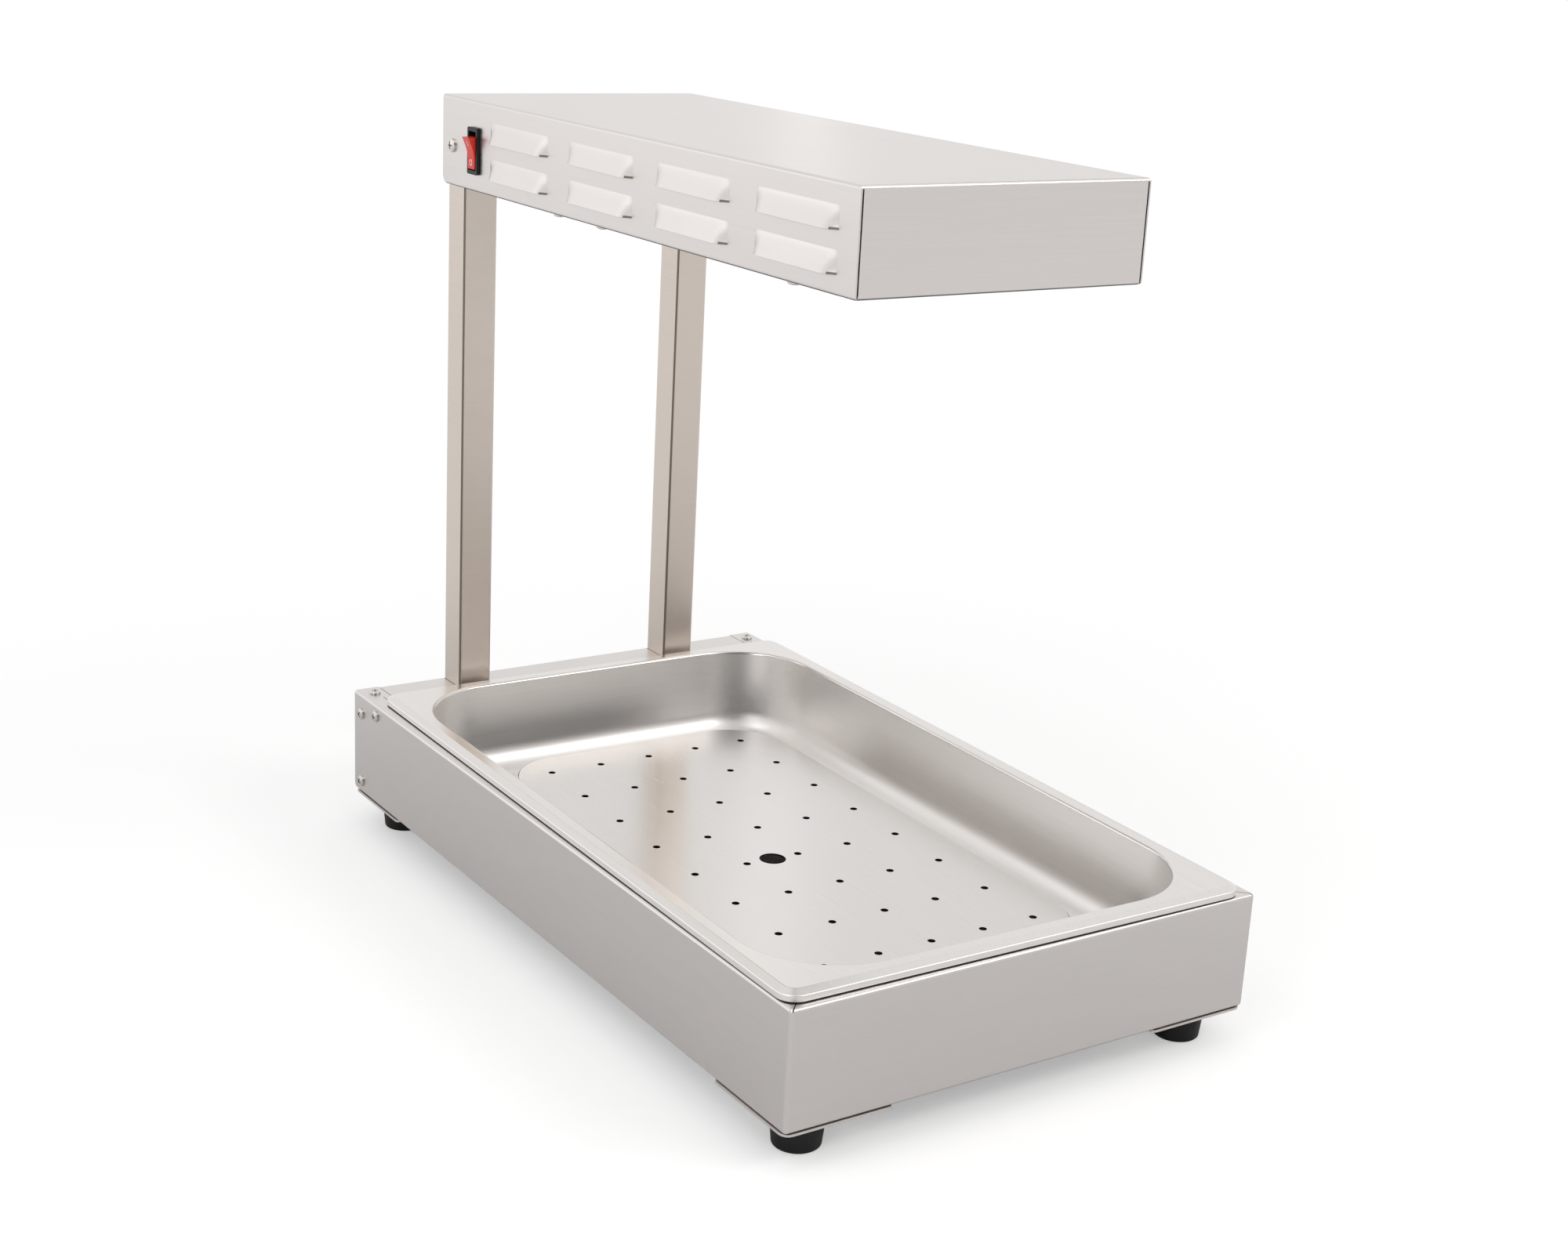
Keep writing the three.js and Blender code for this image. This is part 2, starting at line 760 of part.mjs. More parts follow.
function foodPan() {
  const { sheet, rimHeight, lipHeight, slopeRun, openingInset, brow } = pan;
  const { depth, wallTaper, floorFillet } = pan;
  const lipBottom = gap + pan.hemRise;
  const floor = rimHeight - depth;         // underside of the floor
  const filletTop = floor + floorFillet;
  const wallInset = openingInset + wallTaper;
  const upper = [
    [slopeRun, rimHeight],
    [openingInset - brow, rimHeight],
    [openingInset, rimHeight - brow],
    [wallInset, filletTop],
  ];
  const lower = [
    [slopeRun + sheet, rimHeight - sheet],
    [openingInset - brow - sheet, rimHeight - sheet],
    [openingInset - sheet, rimHeight - brow - sheet],
    [wallInset - sheet, filletTop],
  ];
  const filletRings = (radius) => {
    const points = [];
    for (let step = 1; step <= foldSteps + 1; step += 1) {
      const angle = (step / (foldSteps + 1)) * (Math.PI / 2);
      points.push([
        wallInset - sheet + floorFillet - radius * Math.cos(angle),
        filletTop - radius * Math.sin(angle),
      ]);
    }
    return points;
  };
  const profile = [
    ...filletRings(floorFillet - sheet).reverse(),
    ...upper.reverse(),
    [0, lipBottom + lipHeight - pan.hemRise],
    [0, lipBottom],
    [pan.hemTuck, gap],
    [pan.hemTuck + sheet, gap],
    [sheet, lipBottom + sheet / 2],
    [sheet, lipBottom + lipHeight - pan.hemRise - sheet / 2],
    ...lower,
    ...filletRings(floorFillet),
  ];
  return loft(profile.map(([inset, z]) => panRing(inset, z)).reverse());
}

function drainPlate() {
  const { width, length, sheet, corner, below, offsetY, skirtInset } = drain;
  const shape = roundedRectangle(width, length, corner);
  const round = (x, y, radius) => {
    const hole = new THREE.Path();
    hole.absarc(x, y, radius, 0, 2 * Math.PI, true);
    return hole;
  };
  for (let column = 0; column < drain.columns; column += 1) {
    for (let row = 0; row < drain.rows; row += 1) {
      const x = (column - (drain.columns - 1) / 2) * drain.pitchX;
      const y = (row - (drain.rows - 1) / 2) * drain.pitchY;
      shape.holes.push(round(x, y, drain.holeDiameter / 2));
    }
  }
  const plate = slab(shape, -below - sheet, -below, smallHoleSides / 2);
  const finger = rod('z', drain.fingerDiameter / 2, new THREE.Vector3(drain.fingerX, drain.fingerY, 0),
    -below - sheet - overrun, overrun - below, fingerSides);
  const skirtBottom = pan.rimHeight - pan.depth + pan.sheet + gap;
  const skirts = [-1, 1].map((side) => {
    const outer = side * width / 2;
    const inner = outer - side * sheet;
    return box(Math.min(outer, inner), Math.max(outer, inner), skirtInset - length / 2,
      length / 2 - skirtInset, skirtBottom, -below - sheet / 2);
  });
  return joinAll([plate.subtract(finger), ...skirts]).translate([0, offsetY, 0]);
}

// Hood

const louvreStart = (column) => headRear - louvre.firstFromRear - column * louvre.pitch;

// One pressed louvre as a height over the sheet: the lanced lower edge stands out most.
const louvreAlong = [
  { endShare: 0, riseShare: 0 },
  { endShare: 0.4, riseShare: 0.66 },
  { endShare: 1, riseShare: 1 },
];
const louvreUp = [
  { heightShare: 0, riseShare: 1 },
  { heightShare: 0.5, riseShare: 0.56 },
  { heightShare: 1, riseShare: 0 },
];

function louvreStations() {
  const first = louvreAlong.map(({ endShare, riseShare }) => [endShare * louvre.endRun, riseShare]);
  const last = first.map(([along, share]) => [louvre.length - along, share]).reverse();
  return [...first, ...last];
}

// The body under the louvre's skin, lowered by drop and closed at the level called floor.
function louvreBody(drop, floor) {
  const stations = louvreStations();
  const rows = louvreUp.length;
  const position = [];
  const index = [];
  stations.forEach(([along, share]) => louvreUp.forEach(({ heightShare, riseShare }) => {
    position.push(along, louvre.height * heightShare, louvre.depth * share * riseShare - drop);
  }));
  const lowerStart = position.length / 3;
  stations.forEach(([along]) => louvreUp.forEach(({ heightShare }) => {
    position.push(along, louvre.height * heightShare, floor);
  }));
  const quad = (a, b, c, d) => index.push(a, b, c, a, c, d);
  for (let s = 0; s < stations.length - 1; s += 1) {
    for (let r = 0; r < rows - 1; r += 1) {
      const a = s * rows + r;
      quad(a, a + rows, a + rows + 1, a + 1);
      quad(lowerStart + a, lowerStart + a + 1, lowerStart + a + rows + 1, lowerStart + a + rows);
    }
    const bottom = s * rows;
    const top = bottom + rows - 1;
    quad(bottom + lowerStart, bottom + rows + lowerStart, bottom + rows, bottom);
    quad(top, top + rows, top + rows + lowerStart, top + lowerStart);
  }
  for (let r = 0; r < rows - 1; r += 1) {
    const end = (stations.length - 1) * rows;
    quad(r, r + 1, r + 1 + lowerStart, r + lowerStart);
    quad(end + r + 1, end + r, end + r + lowerStart, end + r + 1 + lowerStart);
  }
  const geometry = new THREE.BufferGeometry();
  geometry.setAttribute('position', new THREE.Float32BufferAttribute(position, 3));
  geometry.setIndex(index);
  return solid(geometry);
}

// The mouth of the louvre, below its lanced edge and outside the sheet.
function louvreMouth() {
  const rise = louvre.depth - head.sheet;
  const run = louvre.endRun;
  const start = run * louvreAlong[1].endShare;
  const shape = new THREE.Shape([
    [start, 0], [run, rise], [louvre.length - run, rise], [louvre.length - start, 0],
  ].map(([x, y]) => new THREE.Vector2(x, y)));
  const geometry = new THREE.ExtrudeGeometry(shape, { depth: overrun + overrun, bevelEnabled: false });
  geometry.rotateX(Math.PI / 2);
  geometry.translate(0, overrun, 0);
  return solid(geometry);
}

// Places a louvre part on one side: along the hood, up its side and out of it.
function onHoodSide(side, column, row, body) {
  const frame = new THREE.Matrix4().makeBasis(
    new THREE.Vector3(0, side, 0),
    new THREE.Vector3(0, 0, 1),
    new THREE.Vector3(side, 0, 0),
  );
  const along = side > 0 ? louvreStart(column) - louvre.length : louvreStart(column);
  frame.setPosition(side * headSide, along, head.underside + louvre.rowHeights[row]);
  return body.transform(frame.elements);
}

const underscrewPlaces = [
  ...[-1, 1].flatMap((side) => sideUnderscrews.map((fromFront, i) => ({
    name: `underside_screw_${side < 0 ? 'left' : 'right'}_${i + 1}`,
    place: new THREE.Vector3(
      side * (headSide - underscrewSideInset),
      headFront + fromFront,
      head.underside,
    ),
  }))),
  ...[-1, 1].map((side) => ({
    name: `underside_screw_front_${side < 0 ? 'left' : 'right'}`,
    place: new THREE.Vector3(
      side * frontUnderscrew.fromMiddle,
      headFront + frontUnderscrew.fromFront,
      head.underside,
    ),
  })),
];

// The folded outline of the hood, smaller all round by inset and longer than the hood at the rear.
function headBlock(inset, extra) {
  return foldedBlock(
    head.width - inset - inset,
    head.length + extra - inset - inset,
    head.underside + inset,
    headTop - inset,
    0,
    head.fold - inset,
  ).translate([0, (headFront + headRear + extra) / 2, 0]);
}

function headHood() {
  const { sheet, fold, underside, flange } = head;
  const extra = fold + overrun;           // cut off again at the open rear
  const outer = headBlock(0, extra);
  const inner = headBlock(sheet, extra);
  const flangeBack = postFront - head.flangeEnd;
  const underHole = (panScrew.diameter + holePlay) / 2;
  const cutters = [
    inner,
    box(flange - headSide, headSide - flange, headFront + flange, headRear + extra + overrun,
      underside - overrun, underside + sheet + overrun),
    box(sheet - headSide, headSide - sheet, flangeBack, headRear + extra + overrun,
      underside - overrun, underside + fold + overrun),
    box(-headSide - overrun, headSide + overrun, headRear, headRear + extra + overrun,
      underside - overrun, headTop + overrun),
    toeCutter(head.heelRadius, headSide, headRear, underside),
    box(-headSide - overrun, -headSide + sheet + overrun, switchY - (switchBody.width + holePlay) / 2,
      switchY + (switchBody.width + holePlay) / 2, switchZ - (switchBody.height + holePlay) / 2,
      switchZ + (switchBody.height + holePlay) / 2),
    ...underscrewPlaces.map(({ place }) => rod('z', underHole, place, underside - overrun,
      underside + sheet + overrun, holeSides)),
  ];
  for (const side of [-1, 1]) {
    const seamOuter = side * (headSide - sheet);
    const seamInner = seamOuter - side * head.cornerSeam;
    const [x0, x1] = [Math.min(seamOuter, seamInner), Math.max(seamOuter, seamInner)];
    cutters.push(box(x0, x1, headFront - overrun, headFront + flange + overrun,
      underside - overrun, underside + sheet + overrun));
    cutters.push(box(x0, x1, headFront - overrun, headFront + sheet + overrun,
      underside - overrun, headTop - fold));
    const wall = side * (headSide - sheet / 2);
    cutters.push(rod('x', (headScrew.diameter + holePlay) / 2,
      new THREE.Vector3(0, headScrewY, switchZ), wall - sheet, wall + sheet, holeSides));
  }
  const skins = [];
  const skin = louvreBody(0, -sheet / 2);
  const hollow = louvreBody(sheet, -sheet - overrun).add(louvreMouth());
  for (const side of [-1, 1]) {
    for (let column = 0; column < louvre.columns; column += 1) {
      louvre.rowHeights.forEach((_, row) => {
        skins.push(onHoodSide(side, column, row, skin));
        cutters.push(onHoodSide(side, column, row, hollow));
      });
    }
  }
  return cutAll(joinAll([outer, ...skins]), cutters);
}

function headRearPanel() {
  const { sheet, fold } = head;
  const half = headSide - sheet - gap;
  const front = postRear + gap;
  const middle = sheet / 2;
  const bottom = head.underside;
  const top = headTop - sheet - gap;
  const corners = [
    [postFront + gap, top - middle],
    [front + middle, top - middle],
    [front + middle, bottom + middle],
    [postFront, bottom + middle],
  ].map(([y, z]) => new THREE.Vector2(y, z));
  const channel = alongX(bentSheet(corners, sheet, fold - middle), -half, half);
  const between = postOuter - post.width - gap;
  const cutters = [];
  for (const side of [-1, 1]) {
    const [x0, x1] = side > 0 ? [between, half + overrun] : [-half - overrun, -between];
    cutters.push(box(x0, x1, postFront - overrun, front, bottom - overrun, bottom + fold + sheet));
  }
  cutters.push(rod('y', gland.holeDiameter / 2, new THREE.Vector3(gland.offsetX, 0, bottom + gland.up),
    front - overrun, front + sheet + overrun, fingerSides));
  cutters.push(toeCutter(head.heelRadius, headSide, headRear, bottom));
  const room = headBlock(sheet + gap, fold + fold)
    .add(box(-between, between, postFront - overrun, headRear + overrun, bottom - overrun,
      bottom + fold + fold));
  return cutAll(channel.intersect(room), cutters);
}

function cordGland() {
  const outerFace = postRear + gap + head.sheet + gap;
  const barrelRadius = (gland.holeDiameter - gap - gap) / 2;
  const bore = gland.bore / 2;
  const section = turned([
    [bore, -gland.barrel],
    [barrelRadius, -gland.barrel],
    [barrelRadius, 0],
    [gland.flangeRadius, 0],
    [gland.flangeRadius, gland.flangeThickness],
    [bore, gland.flangeThickness],
    [bore, -gland.barrel],
  ], footSides);
  return section.rotate([-90, 0, 0]).translate([gland.offsetX, outerFace, head.underside + gland.up]);
}

function bottomCover() {
  const half = headSide - head.sheet - gap;
  const front = headFront + head.sheet + gap;
  const plate = box(-half, half, front, coverRear, coverBottom, coverTop);
  const mouth = slab(roundedRectangle(cover.mouthWidth, mouthLength, cover.mouthCorner),
    coverBottom - overrun, coverTop + overrun).translate([0, heaterY, 0]);
  const holeRadius = (panScrew.diameter + holePlay) / 2;
  const holes = underscrewPlaces.map(({ place }) => rod('z', holeRadius, place, coverBottom - overrun,
    coverTop + overrun, holeSides));
  return cutAll(plate.intersect(headBlock(head.sheet + gap, 0)), [mouth, ...holes]);
}

// Heater

function reflectorSolid() {
  const { sheet, sideSlope, lip, corner } = reflector;
  const topWidth = reflectorWidth - sideSlope - sideSlope;
  const level = (width, length, radius, z) => ring(width / 2, length / 2, radius, z);
  const grown = (size, by) => size + by + by;
  const body = loft([
    level(grown(topWidth, -sheet), grown(reflectorTopLength, -sheet), corner, reflectorTop - sheet),
    level(grown(reflectorWidth, -sheet), grown(reflectorLength, -sheet), corner, reflectorBottom),
    level(grown(reflectorWidth, lip), grown(reflectorLength, lip), corner + lip, reflectorBottom),
    level(grown(reflectorWidth, lip), grown(reflectorLength, lip), corner + lip,
      reflectorBottom + sheet),
    level(reflectorWidth, reflectorLength, corner + sheet, reflectorBottom + sheet),
    level(topWidth, reflectorTopLength, corner + sheet, reflectorTop),
  ]).translate([0, heaterY, 0]);
  const holeRadius = (element.diameter + gap + gap + holePlay) / 2;
  const holes = [-1, 1].map((side) => rod('y', holeRadius,
    new THREE.Vector3(side * element.spacing / 2, 0, elementHeight), heaterY,
    heaterY + reflectorLength / 2 + overrun, fingerSides));
  return cutAll(body, holes);
}

const elementTail = heaterY + reflectorLength / 2 + element.tail;

function heatingElement() {
  const radius = element.spacing / 2;
  const bendY = heaterY - reflectorTopLength / 2 + element.frontInset + radius;
  const points = [new THREE.Vector3(-radius, elementTail, elementHeight)];
  for (let step = 0; step <= bendSteps; step += 1) {
    const angle = Math.PI + (Math.PI * step) / bendSteps;
    const [x, y] = [radius * Math.cos(angle), bendY + radius * Math.sin(angle)];
    points.push(new THREE.Vector3(x, y, elementHeight));
  }
  points.push(new THREE.Vector3(radius, elementTail, elementHeight));
  return roundTube(points, element.diameter / 2, tubeSides);
}

function elementTerminal(side) {
  const start = elementTail + gap;
  const x = side * element.spacing / 2;
  const profile = turned([
    [0, 0],
    [terminal.radius, 0],
    [terminal.radius, terminal.length],
    [terminal.pinRadius, terminal.length],
    [terminal.pinRadius, terminal.length + terminal.pinLength],
    [0, terminal.length + terminal.pinLength],
  ], holeSides);
  return profile.rotate([-90, 0, 0]).translate([x, start, elementHeight]);
}

const terminalEnd = elementTail + gap + terminal.length + terminal.pinLength;

function elementHanger(y) {
  const { sheet, sideMargin, underElement, footLength } = hanger;
  const halfWidth = element.spacing / 2 + sideMargin;
  const top = reflectorTop - reflector.sheet - gap;
  const upright = box(-halfWidth, halfWidth, y - sheet / 2, y + sheet / 2,
    elementHeight - underElement, top);
  const flange = box(-halfWidth, halfWidth, y - sheet / 2, y + footLength, top - sheet, top);
  const holeRadius = element.diameter / 2 + gap + gap;
  const holes = [-1, 1].map((side) => rod('y', holeRadius,
    new THREE.Vector3(side * element.spacing / 2, 0, elementHeight), y - sheet, y + sheet, fingerSides));
  return cutAll(upright.add(flange), holes);
}

function wireGuard() {
  const barZ = coverTop + gap + guard.wire / 2;
  const railZ = barZ + guard.wire / 2 + guard.rail / 2 - guard.weld;
  const reach = cover.mouthWidth / 2 + guard.landing;
  const railX = cover.mouthWidth / 2 - guard.railInset;
  const span = mouthLength / 2 - guard.endRoom;
  const pitch = (span + span) / (guard.bars - 1);
  const bars = Array.from({ length: guard.bars }, (_, i) => rod('x', guard.wire / 2,
    new THREE.Vector3(0, heaterY - span + i * pitch, barZ), -reach, reach, rodSides));
  const railReach = span + guard.railInset;
  const rails = [-1, 1].map((side) => rod('y', guard.rail / 2,
    new THREE.Vector3(side * railX, 0, railZ), heaterY - railReach, heaterY + railReach, rodSides));
  return joinAll([...bars, ...rails]);
}

// Wiring inside the hood

const blockY = headRear - block.fromRear;
const blockBottom = coverTop + gap;
const blockPort = (way) => new THREE.Vector3(
  block.offsetX + (way - (block.ways - 1) / 2) * block.wayPitch,
  blockY - block.depth / 2 - gap,
  blockBottom + block.shoulder / 2,
);

function terminalBlock() {
  const { width, depth, height, shoulder, rib } = block;
  const section = new THREE.Shape([
    [-depth / 2, 0], [depth / 2, 0], [depth / 2, shoulder], [rib / 2, shoulder],
    [rib / 2, height], [-rib / 2, height], [-rib / 2, shoulder], [-depth / 2, shoulder],
  ].map(([y, z]) => new THREE.Vector2(blockY + y, blockBottom + z)));
  const body = alongX(section, block.offsetX - width / 2, block.offsetX + width / 2);
  const wells = [];
  for (let way = 0; way < block.ways; way += 1) {
    for (const end of [-1, 1]) {
      const middle = blockY + end * (depth + rib) / 4;
      wells.push(rod('z', block.screwDiameter / 2, new THREE.Vector3(blockPort(way).x, middle, 0),
        blockBottom + shoulder - block.screwDepth, blockBottom + shoulder + overrun, smallHoleSides));
    }
  }
  return cutAll(body, wells);
}

const bladeTip = (side) => new THREE.Vector3(
  -headSide + switchBody.depth + gap + gap + blade.length + gap,
  switchY,
  switchZ + side * blade.spacing / 2,
);

// A wire whose first and last stretch are straight, so that its ends are square.
function wireThrough(points) {
  const curve = new THREE.CatmullRomCurve3(points.slice(1, -1), false, 'centripetal');
  const line = [points[0], ...curve.getSpacedPoints(wire.steps), points.at(-1)];
  return roundTube(line, wire.diameter / 2, wire.sides);
}

const pinFace = (side) => (
  new THREE.Vector3(side * element.spacing / 2, terminalEnd + gap, elementHeight)
);
const beside = (point, x, y, z) => new THREE.Vector3(point.x + x, point.y + y, point.z + z);

function liveWire() {
  const { run, bend } = wire;
  const [from, to] = [blockPort(0), bladeTip(1)];
  return wireThrough([
    from, beside(from, 0, -bend, 0), beside(from, -run - run, -bend, bend),
    beside(to, run + run + run, -run, bend), beside(to, run, 0, 0), to,
  ]);
}

function switchedWire() {
  const { run, bend } = wire;
  const [from, to] = [bladeTip(-1), pinFace(-1)];
  return wireThrough([
    from, beside(from, run, 0, 0), beside(to, -bend, run + bend, 0), beside(to, 0, bend, 0), to,
  ]);
}

function neutralWire() {
  const { bend } = wire;
  const [from, to] = [blockPort(1), pinFace(1)];
  return wireThrough([
    from, beside(from, 0, -bend, 0), beside(to, bend, bend + bend, -bend), beside(to, 0, bend, 0), to,
  ]);
}

function earthWire() {
  const { run, bend } = wire;
  const from = blockPort(block.ways - 1);
  const to = new THREE.Vector3(postMiddleX, postFront - gap, switchZ);
  return wireThrough([
    from, beside(from, 0, -bend, 0), beside(from, run, -run - bend, bend),
    beside(to, 0, -run - run, 0), beside(to, 0, -run, 0), to,
  ]);
}

// Rocker switch, drawn in the left side of the hood

const bezelFace = -headSide - gap - switchBody.bezelThickness;
const pivot = new THREE.Vector3(bezelFace + rocker.pivotDepth, switchY, switchZ);

function switchBodySolid() {
  const { bezelWidth, bezelHeight, bezelCorner, bezelThickness, width, height, depth } = switchBody;
  const { windowWidth, windowHeight, windowDepth } = switchBody;
  const bezel = slab(roundedRectangle(bezelHeight, bezelWidth, bezelCorner), 0, bezelThickness)
    .rotate([0, 90, 0]).translate([bezelFace, switchY, switchZ]);
  const core = box(bezelFace + bezelThickness / 2, depth - headSide, switchY - width / 2,
    switchY + width / 2, switchZ - height / 2, switchZ + height / 2);
  const window = box(bezelFace - overrun, bezelFace + windowDepth, switchY - windowWidth / 2,
    switchY + windowWidth / 2, switchZ - windowHeight / 2, switchZ + windowHeight / 2);
  const reach = windowWidth / 2 + rocker.pinLength / 2;
  const pinHoles = rod('y', rocker.pinDiameter / 2 + gap, pivot, switchY - reach, switchY + reach,
    smallHoleSides);
  return cutAll(bezel.add(core), [window, pinHoles]);
}

function switchRocker() {
  const { width, halfLength, endRise, valley, skirt, pinDiameter, pinLength, tilt } = rocker;
  const tip = valley + endRise;
  const section = new THREE.Shape([
    [-skirt, 0], [skirt, 0], [halfLength, tip], [0, valley], [-halfLength, tip],
  ].map(([up, out]) => new THREE.Vector2(up, out)));
  const geometry = new THREE.ExtrudeGeometry(section, { depth: width, bevelEnabled: false });
  geometry.translate(0, 0, -width / 2);
  const upright = new THREE.Matrix4().makeBasis(
    new THREE.Vector3(0, 0, 1),
    new THREE.Vector3(-1, 0, 0),
    new THREE.Vector3(0, -1, 0),
  );
  geometry.applyMatrix4(upright);
  const reach = width / 2 + pinLength / 2;
  const pins = rod('y', pinDiameter / 2, new THREE.Vector3(), -reach, reach, smallHoleSides);
  const turn = THREE.MathUtils.radToDeg(tilt);
  return solid(geometry).add(pins).rotate([0, -turn, 0]).translate([pivot.x, pivot.y, pivot.z]);
}

function switchBlade(side) {
  const start = switchBody.depth - headSide + gap;
  const z = switchZ + side * blade.spacing / 2;
  return box(start, start + blade.length, switchY - blade.thickness / 2, switchY + blade.thickness / 2,
    z - blade.width / 2, z + blade.width / 2);
}

// Assembly

const station = new THREE.Group();
const sideName = (side) => (side < 0 ? 'left' : 'right');

station.add(piece('base_shell', baseShell(), materials.brushed));
station.add(piece('rear_panel', rearPanel(), materials.brushed));

for (const place of footPlaces) {
  station.add(piece(`foot_plate_${place.name}`, footPlateSolid(place), materials.brushed));
  station.add(piece(`rubber_foot_${place.name}`, rubberFoot(place), materials.rubber));
  station.add(piece(`foot_bolt_${place.name}`, footBoltSolid(place), materials.zinc));
}

for (const side of [-1, 1]) {
  const outward = new THREE.Vector3(side, 0, 0);
  const backward = new THREE.Vector3(0, 1, 0);
  const upward = new THREE.Vector3(0, 0, 1);
  sideScrewPlaces.forEach((place, i) => {
    const at = new THREE.Vector3(side * baseSide, place.y, place.z);
    station.add(placedScrew(`side_screw_${sideName(side)}_${i + 1}`, panScrew, at, outward));
  });
  station.add(placedScrew(`deck_screw_${sideName(side)}`, panScrew, deckScrewPlace(side), upward));
  station.add(piece(`post_${sideName(side)}`, postSolid(side), materials.polished));
  postScrewHeights.forEach((up, i) => {
    const at = new THREE.Vector3(side * postMiddleX, baseRear, shellBottom + up);
    station.add(placedScrew(`post_screw_${sideName(side)}_${i + 1}`, panScrew, at, backward));
  });
  const headAt = new THREE.Vector3(side * headSide, headScrewY, switchZ);
  station.add(placedScrew(`head_screw_${sideName(side)}`, headScrew, headAt, outward));
}

const panGroup = new THREE.Group();
panGroup.position.set(pan.shift, panMiddleY, deck);
panGroup.rotation.z = pan.turn;
panGroup.add(piece('food_pan', foodPan(), materials.satin));
panGroup.add(piece('drain_plate', drainPlate(), materials.satin));
station.add(panGroup);

station.add(piece('head_hood', headHood(), materials.brushed));
station.add(piece('head_rear_panel', headRearPanel(), materials.brushed));
station.add(piece('cord_gland', cordGland(), materials.plastic));
station.add(piece('bottom_cover', bottomCover(), materials.brushed));
station.add(piece('reflector', reflectorSolid(), materials.mirror));
station.add(piece('heating_element', heatingElement(), materials.sheath));
station.add(piece('element_terminal_left', elementTerminal(-1), materials.ceramic));
station.add(piece('element_terminal_right', elementTerminal(1), materials.ceramic));
station.add(piece('element_hanger_front', elementHanger(heaterY - hanger.spacing / 2), materials.zinc));
station.add(piece('element_hanger_rear', elementHanger(heaterY + hanger.spacing / 2), materials.zinc));
station.add(piece('wire_guard', wireGuard(), materials.zinc));
station.add(piece('terminal_block', terminalBlock(), materials.ceramic));
station.add(piece('wire_live', liveWire(), materials.wireBlack));
station.add(piece('wire_switched', switchedWire(), materials.wireRed));
station.add(piece('wire_neutral', neutralWire(), materials.wireWhite));
station.add(piece('wire_earth', earthWire(), materials.wireGreen));
station.add(piece('switch_body', switchBodySolid(), materials.plastic));
station.add(piece('switch_rocker', switchRocker(), materials.red));
station.add(piece('switch_blade_upper', switchBlade(1), materials.copper));
station.add(piece('switch_blade_lower', switchBlade(-1), materials.copper));

for (const { name, place } of underscrewPlaces) {
  station.add(placedScrew(name, panScrew, place, new THREE.Vector3(0, 0, -1)));
}

const group = new THREE.Group();
station.position.y = -footprintMiddleY;
group.add(station);

export default group;
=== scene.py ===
import math

import bmesh
import bpy
from bpy.props import FloatProperty, FloatVectorProperty, IntProperty, PointerProperty
from bpy.types import Operator, Panel, PropertyGroup
from mathutils import Matrix, Vector


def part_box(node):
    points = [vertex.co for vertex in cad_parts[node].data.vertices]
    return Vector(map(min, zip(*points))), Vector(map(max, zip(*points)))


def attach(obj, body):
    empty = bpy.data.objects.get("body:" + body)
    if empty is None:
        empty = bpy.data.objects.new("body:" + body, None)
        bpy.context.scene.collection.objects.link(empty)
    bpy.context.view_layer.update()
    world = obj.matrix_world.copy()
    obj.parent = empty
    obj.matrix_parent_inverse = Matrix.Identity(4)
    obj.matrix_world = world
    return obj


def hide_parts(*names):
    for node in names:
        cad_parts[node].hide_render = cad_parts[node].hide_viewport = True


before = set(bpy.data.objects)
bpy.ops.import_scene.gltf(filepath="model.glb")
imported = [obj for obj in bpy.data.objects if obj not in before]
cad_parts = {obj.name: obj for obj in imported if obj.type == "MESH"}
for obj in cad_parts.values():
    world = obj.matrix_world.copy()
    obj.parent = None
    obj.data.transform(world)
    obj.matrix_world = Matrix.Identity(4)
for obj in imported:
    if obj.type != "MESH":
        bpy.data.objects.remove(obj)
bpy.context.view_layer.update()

bl_info = {
    "name": "French Fry Dump Station",
    "version": (1, 0, 0),
    "blender": (4, 5, 0),
    "location": "View3D > Sidebar > Dump Station",
    "description": "Builds a heated dump station with its pan, drain plate, hood and switch",
    "category": "Object",
}

MM = 0.001
STATION, PAN, PLATE, ROCKER = "station", "pan", "plate", "rocker"


# Sizes and colours

def length(name, default_mm, description):
    """A length that a user can change, kept in metres and given here in millimetres."""
    return FloatProperty(name=name, description=description, default=default_mm * MM, min=0.0,
                         unit="LENGTH", precision=4)


def count(name, default, description):
    return IntProperty(name=name, description=description, default=default, min=1)


def colour(name, default, description):
    return FloatVectorProperty(name=name, description=description, default=default, size=3,
                               subtype="COLOR", min=0.0, max=1.0)


def share(name, default, description):
    return FloatProperty(name=name, description=description, default=default, min=0.0, max=1.0,
                         subtype="FACTOR")


def offset(name, default_mm, description):
    """A coordinate, which may be negative."""
    return FloatProperty(name=name, description=description, default=default_mm * MM,
                         unit="LENGTH", precision=4)


def rotation(name, degrees, description):
    return FloatProperty(name=name, description=description, default=math.radians(degrees),
                         subtype="ANGLE")


def power(name, watts, description):
    return FloatProperty(name=name, description=description, default=watts, min=0.0, unit="POWER")


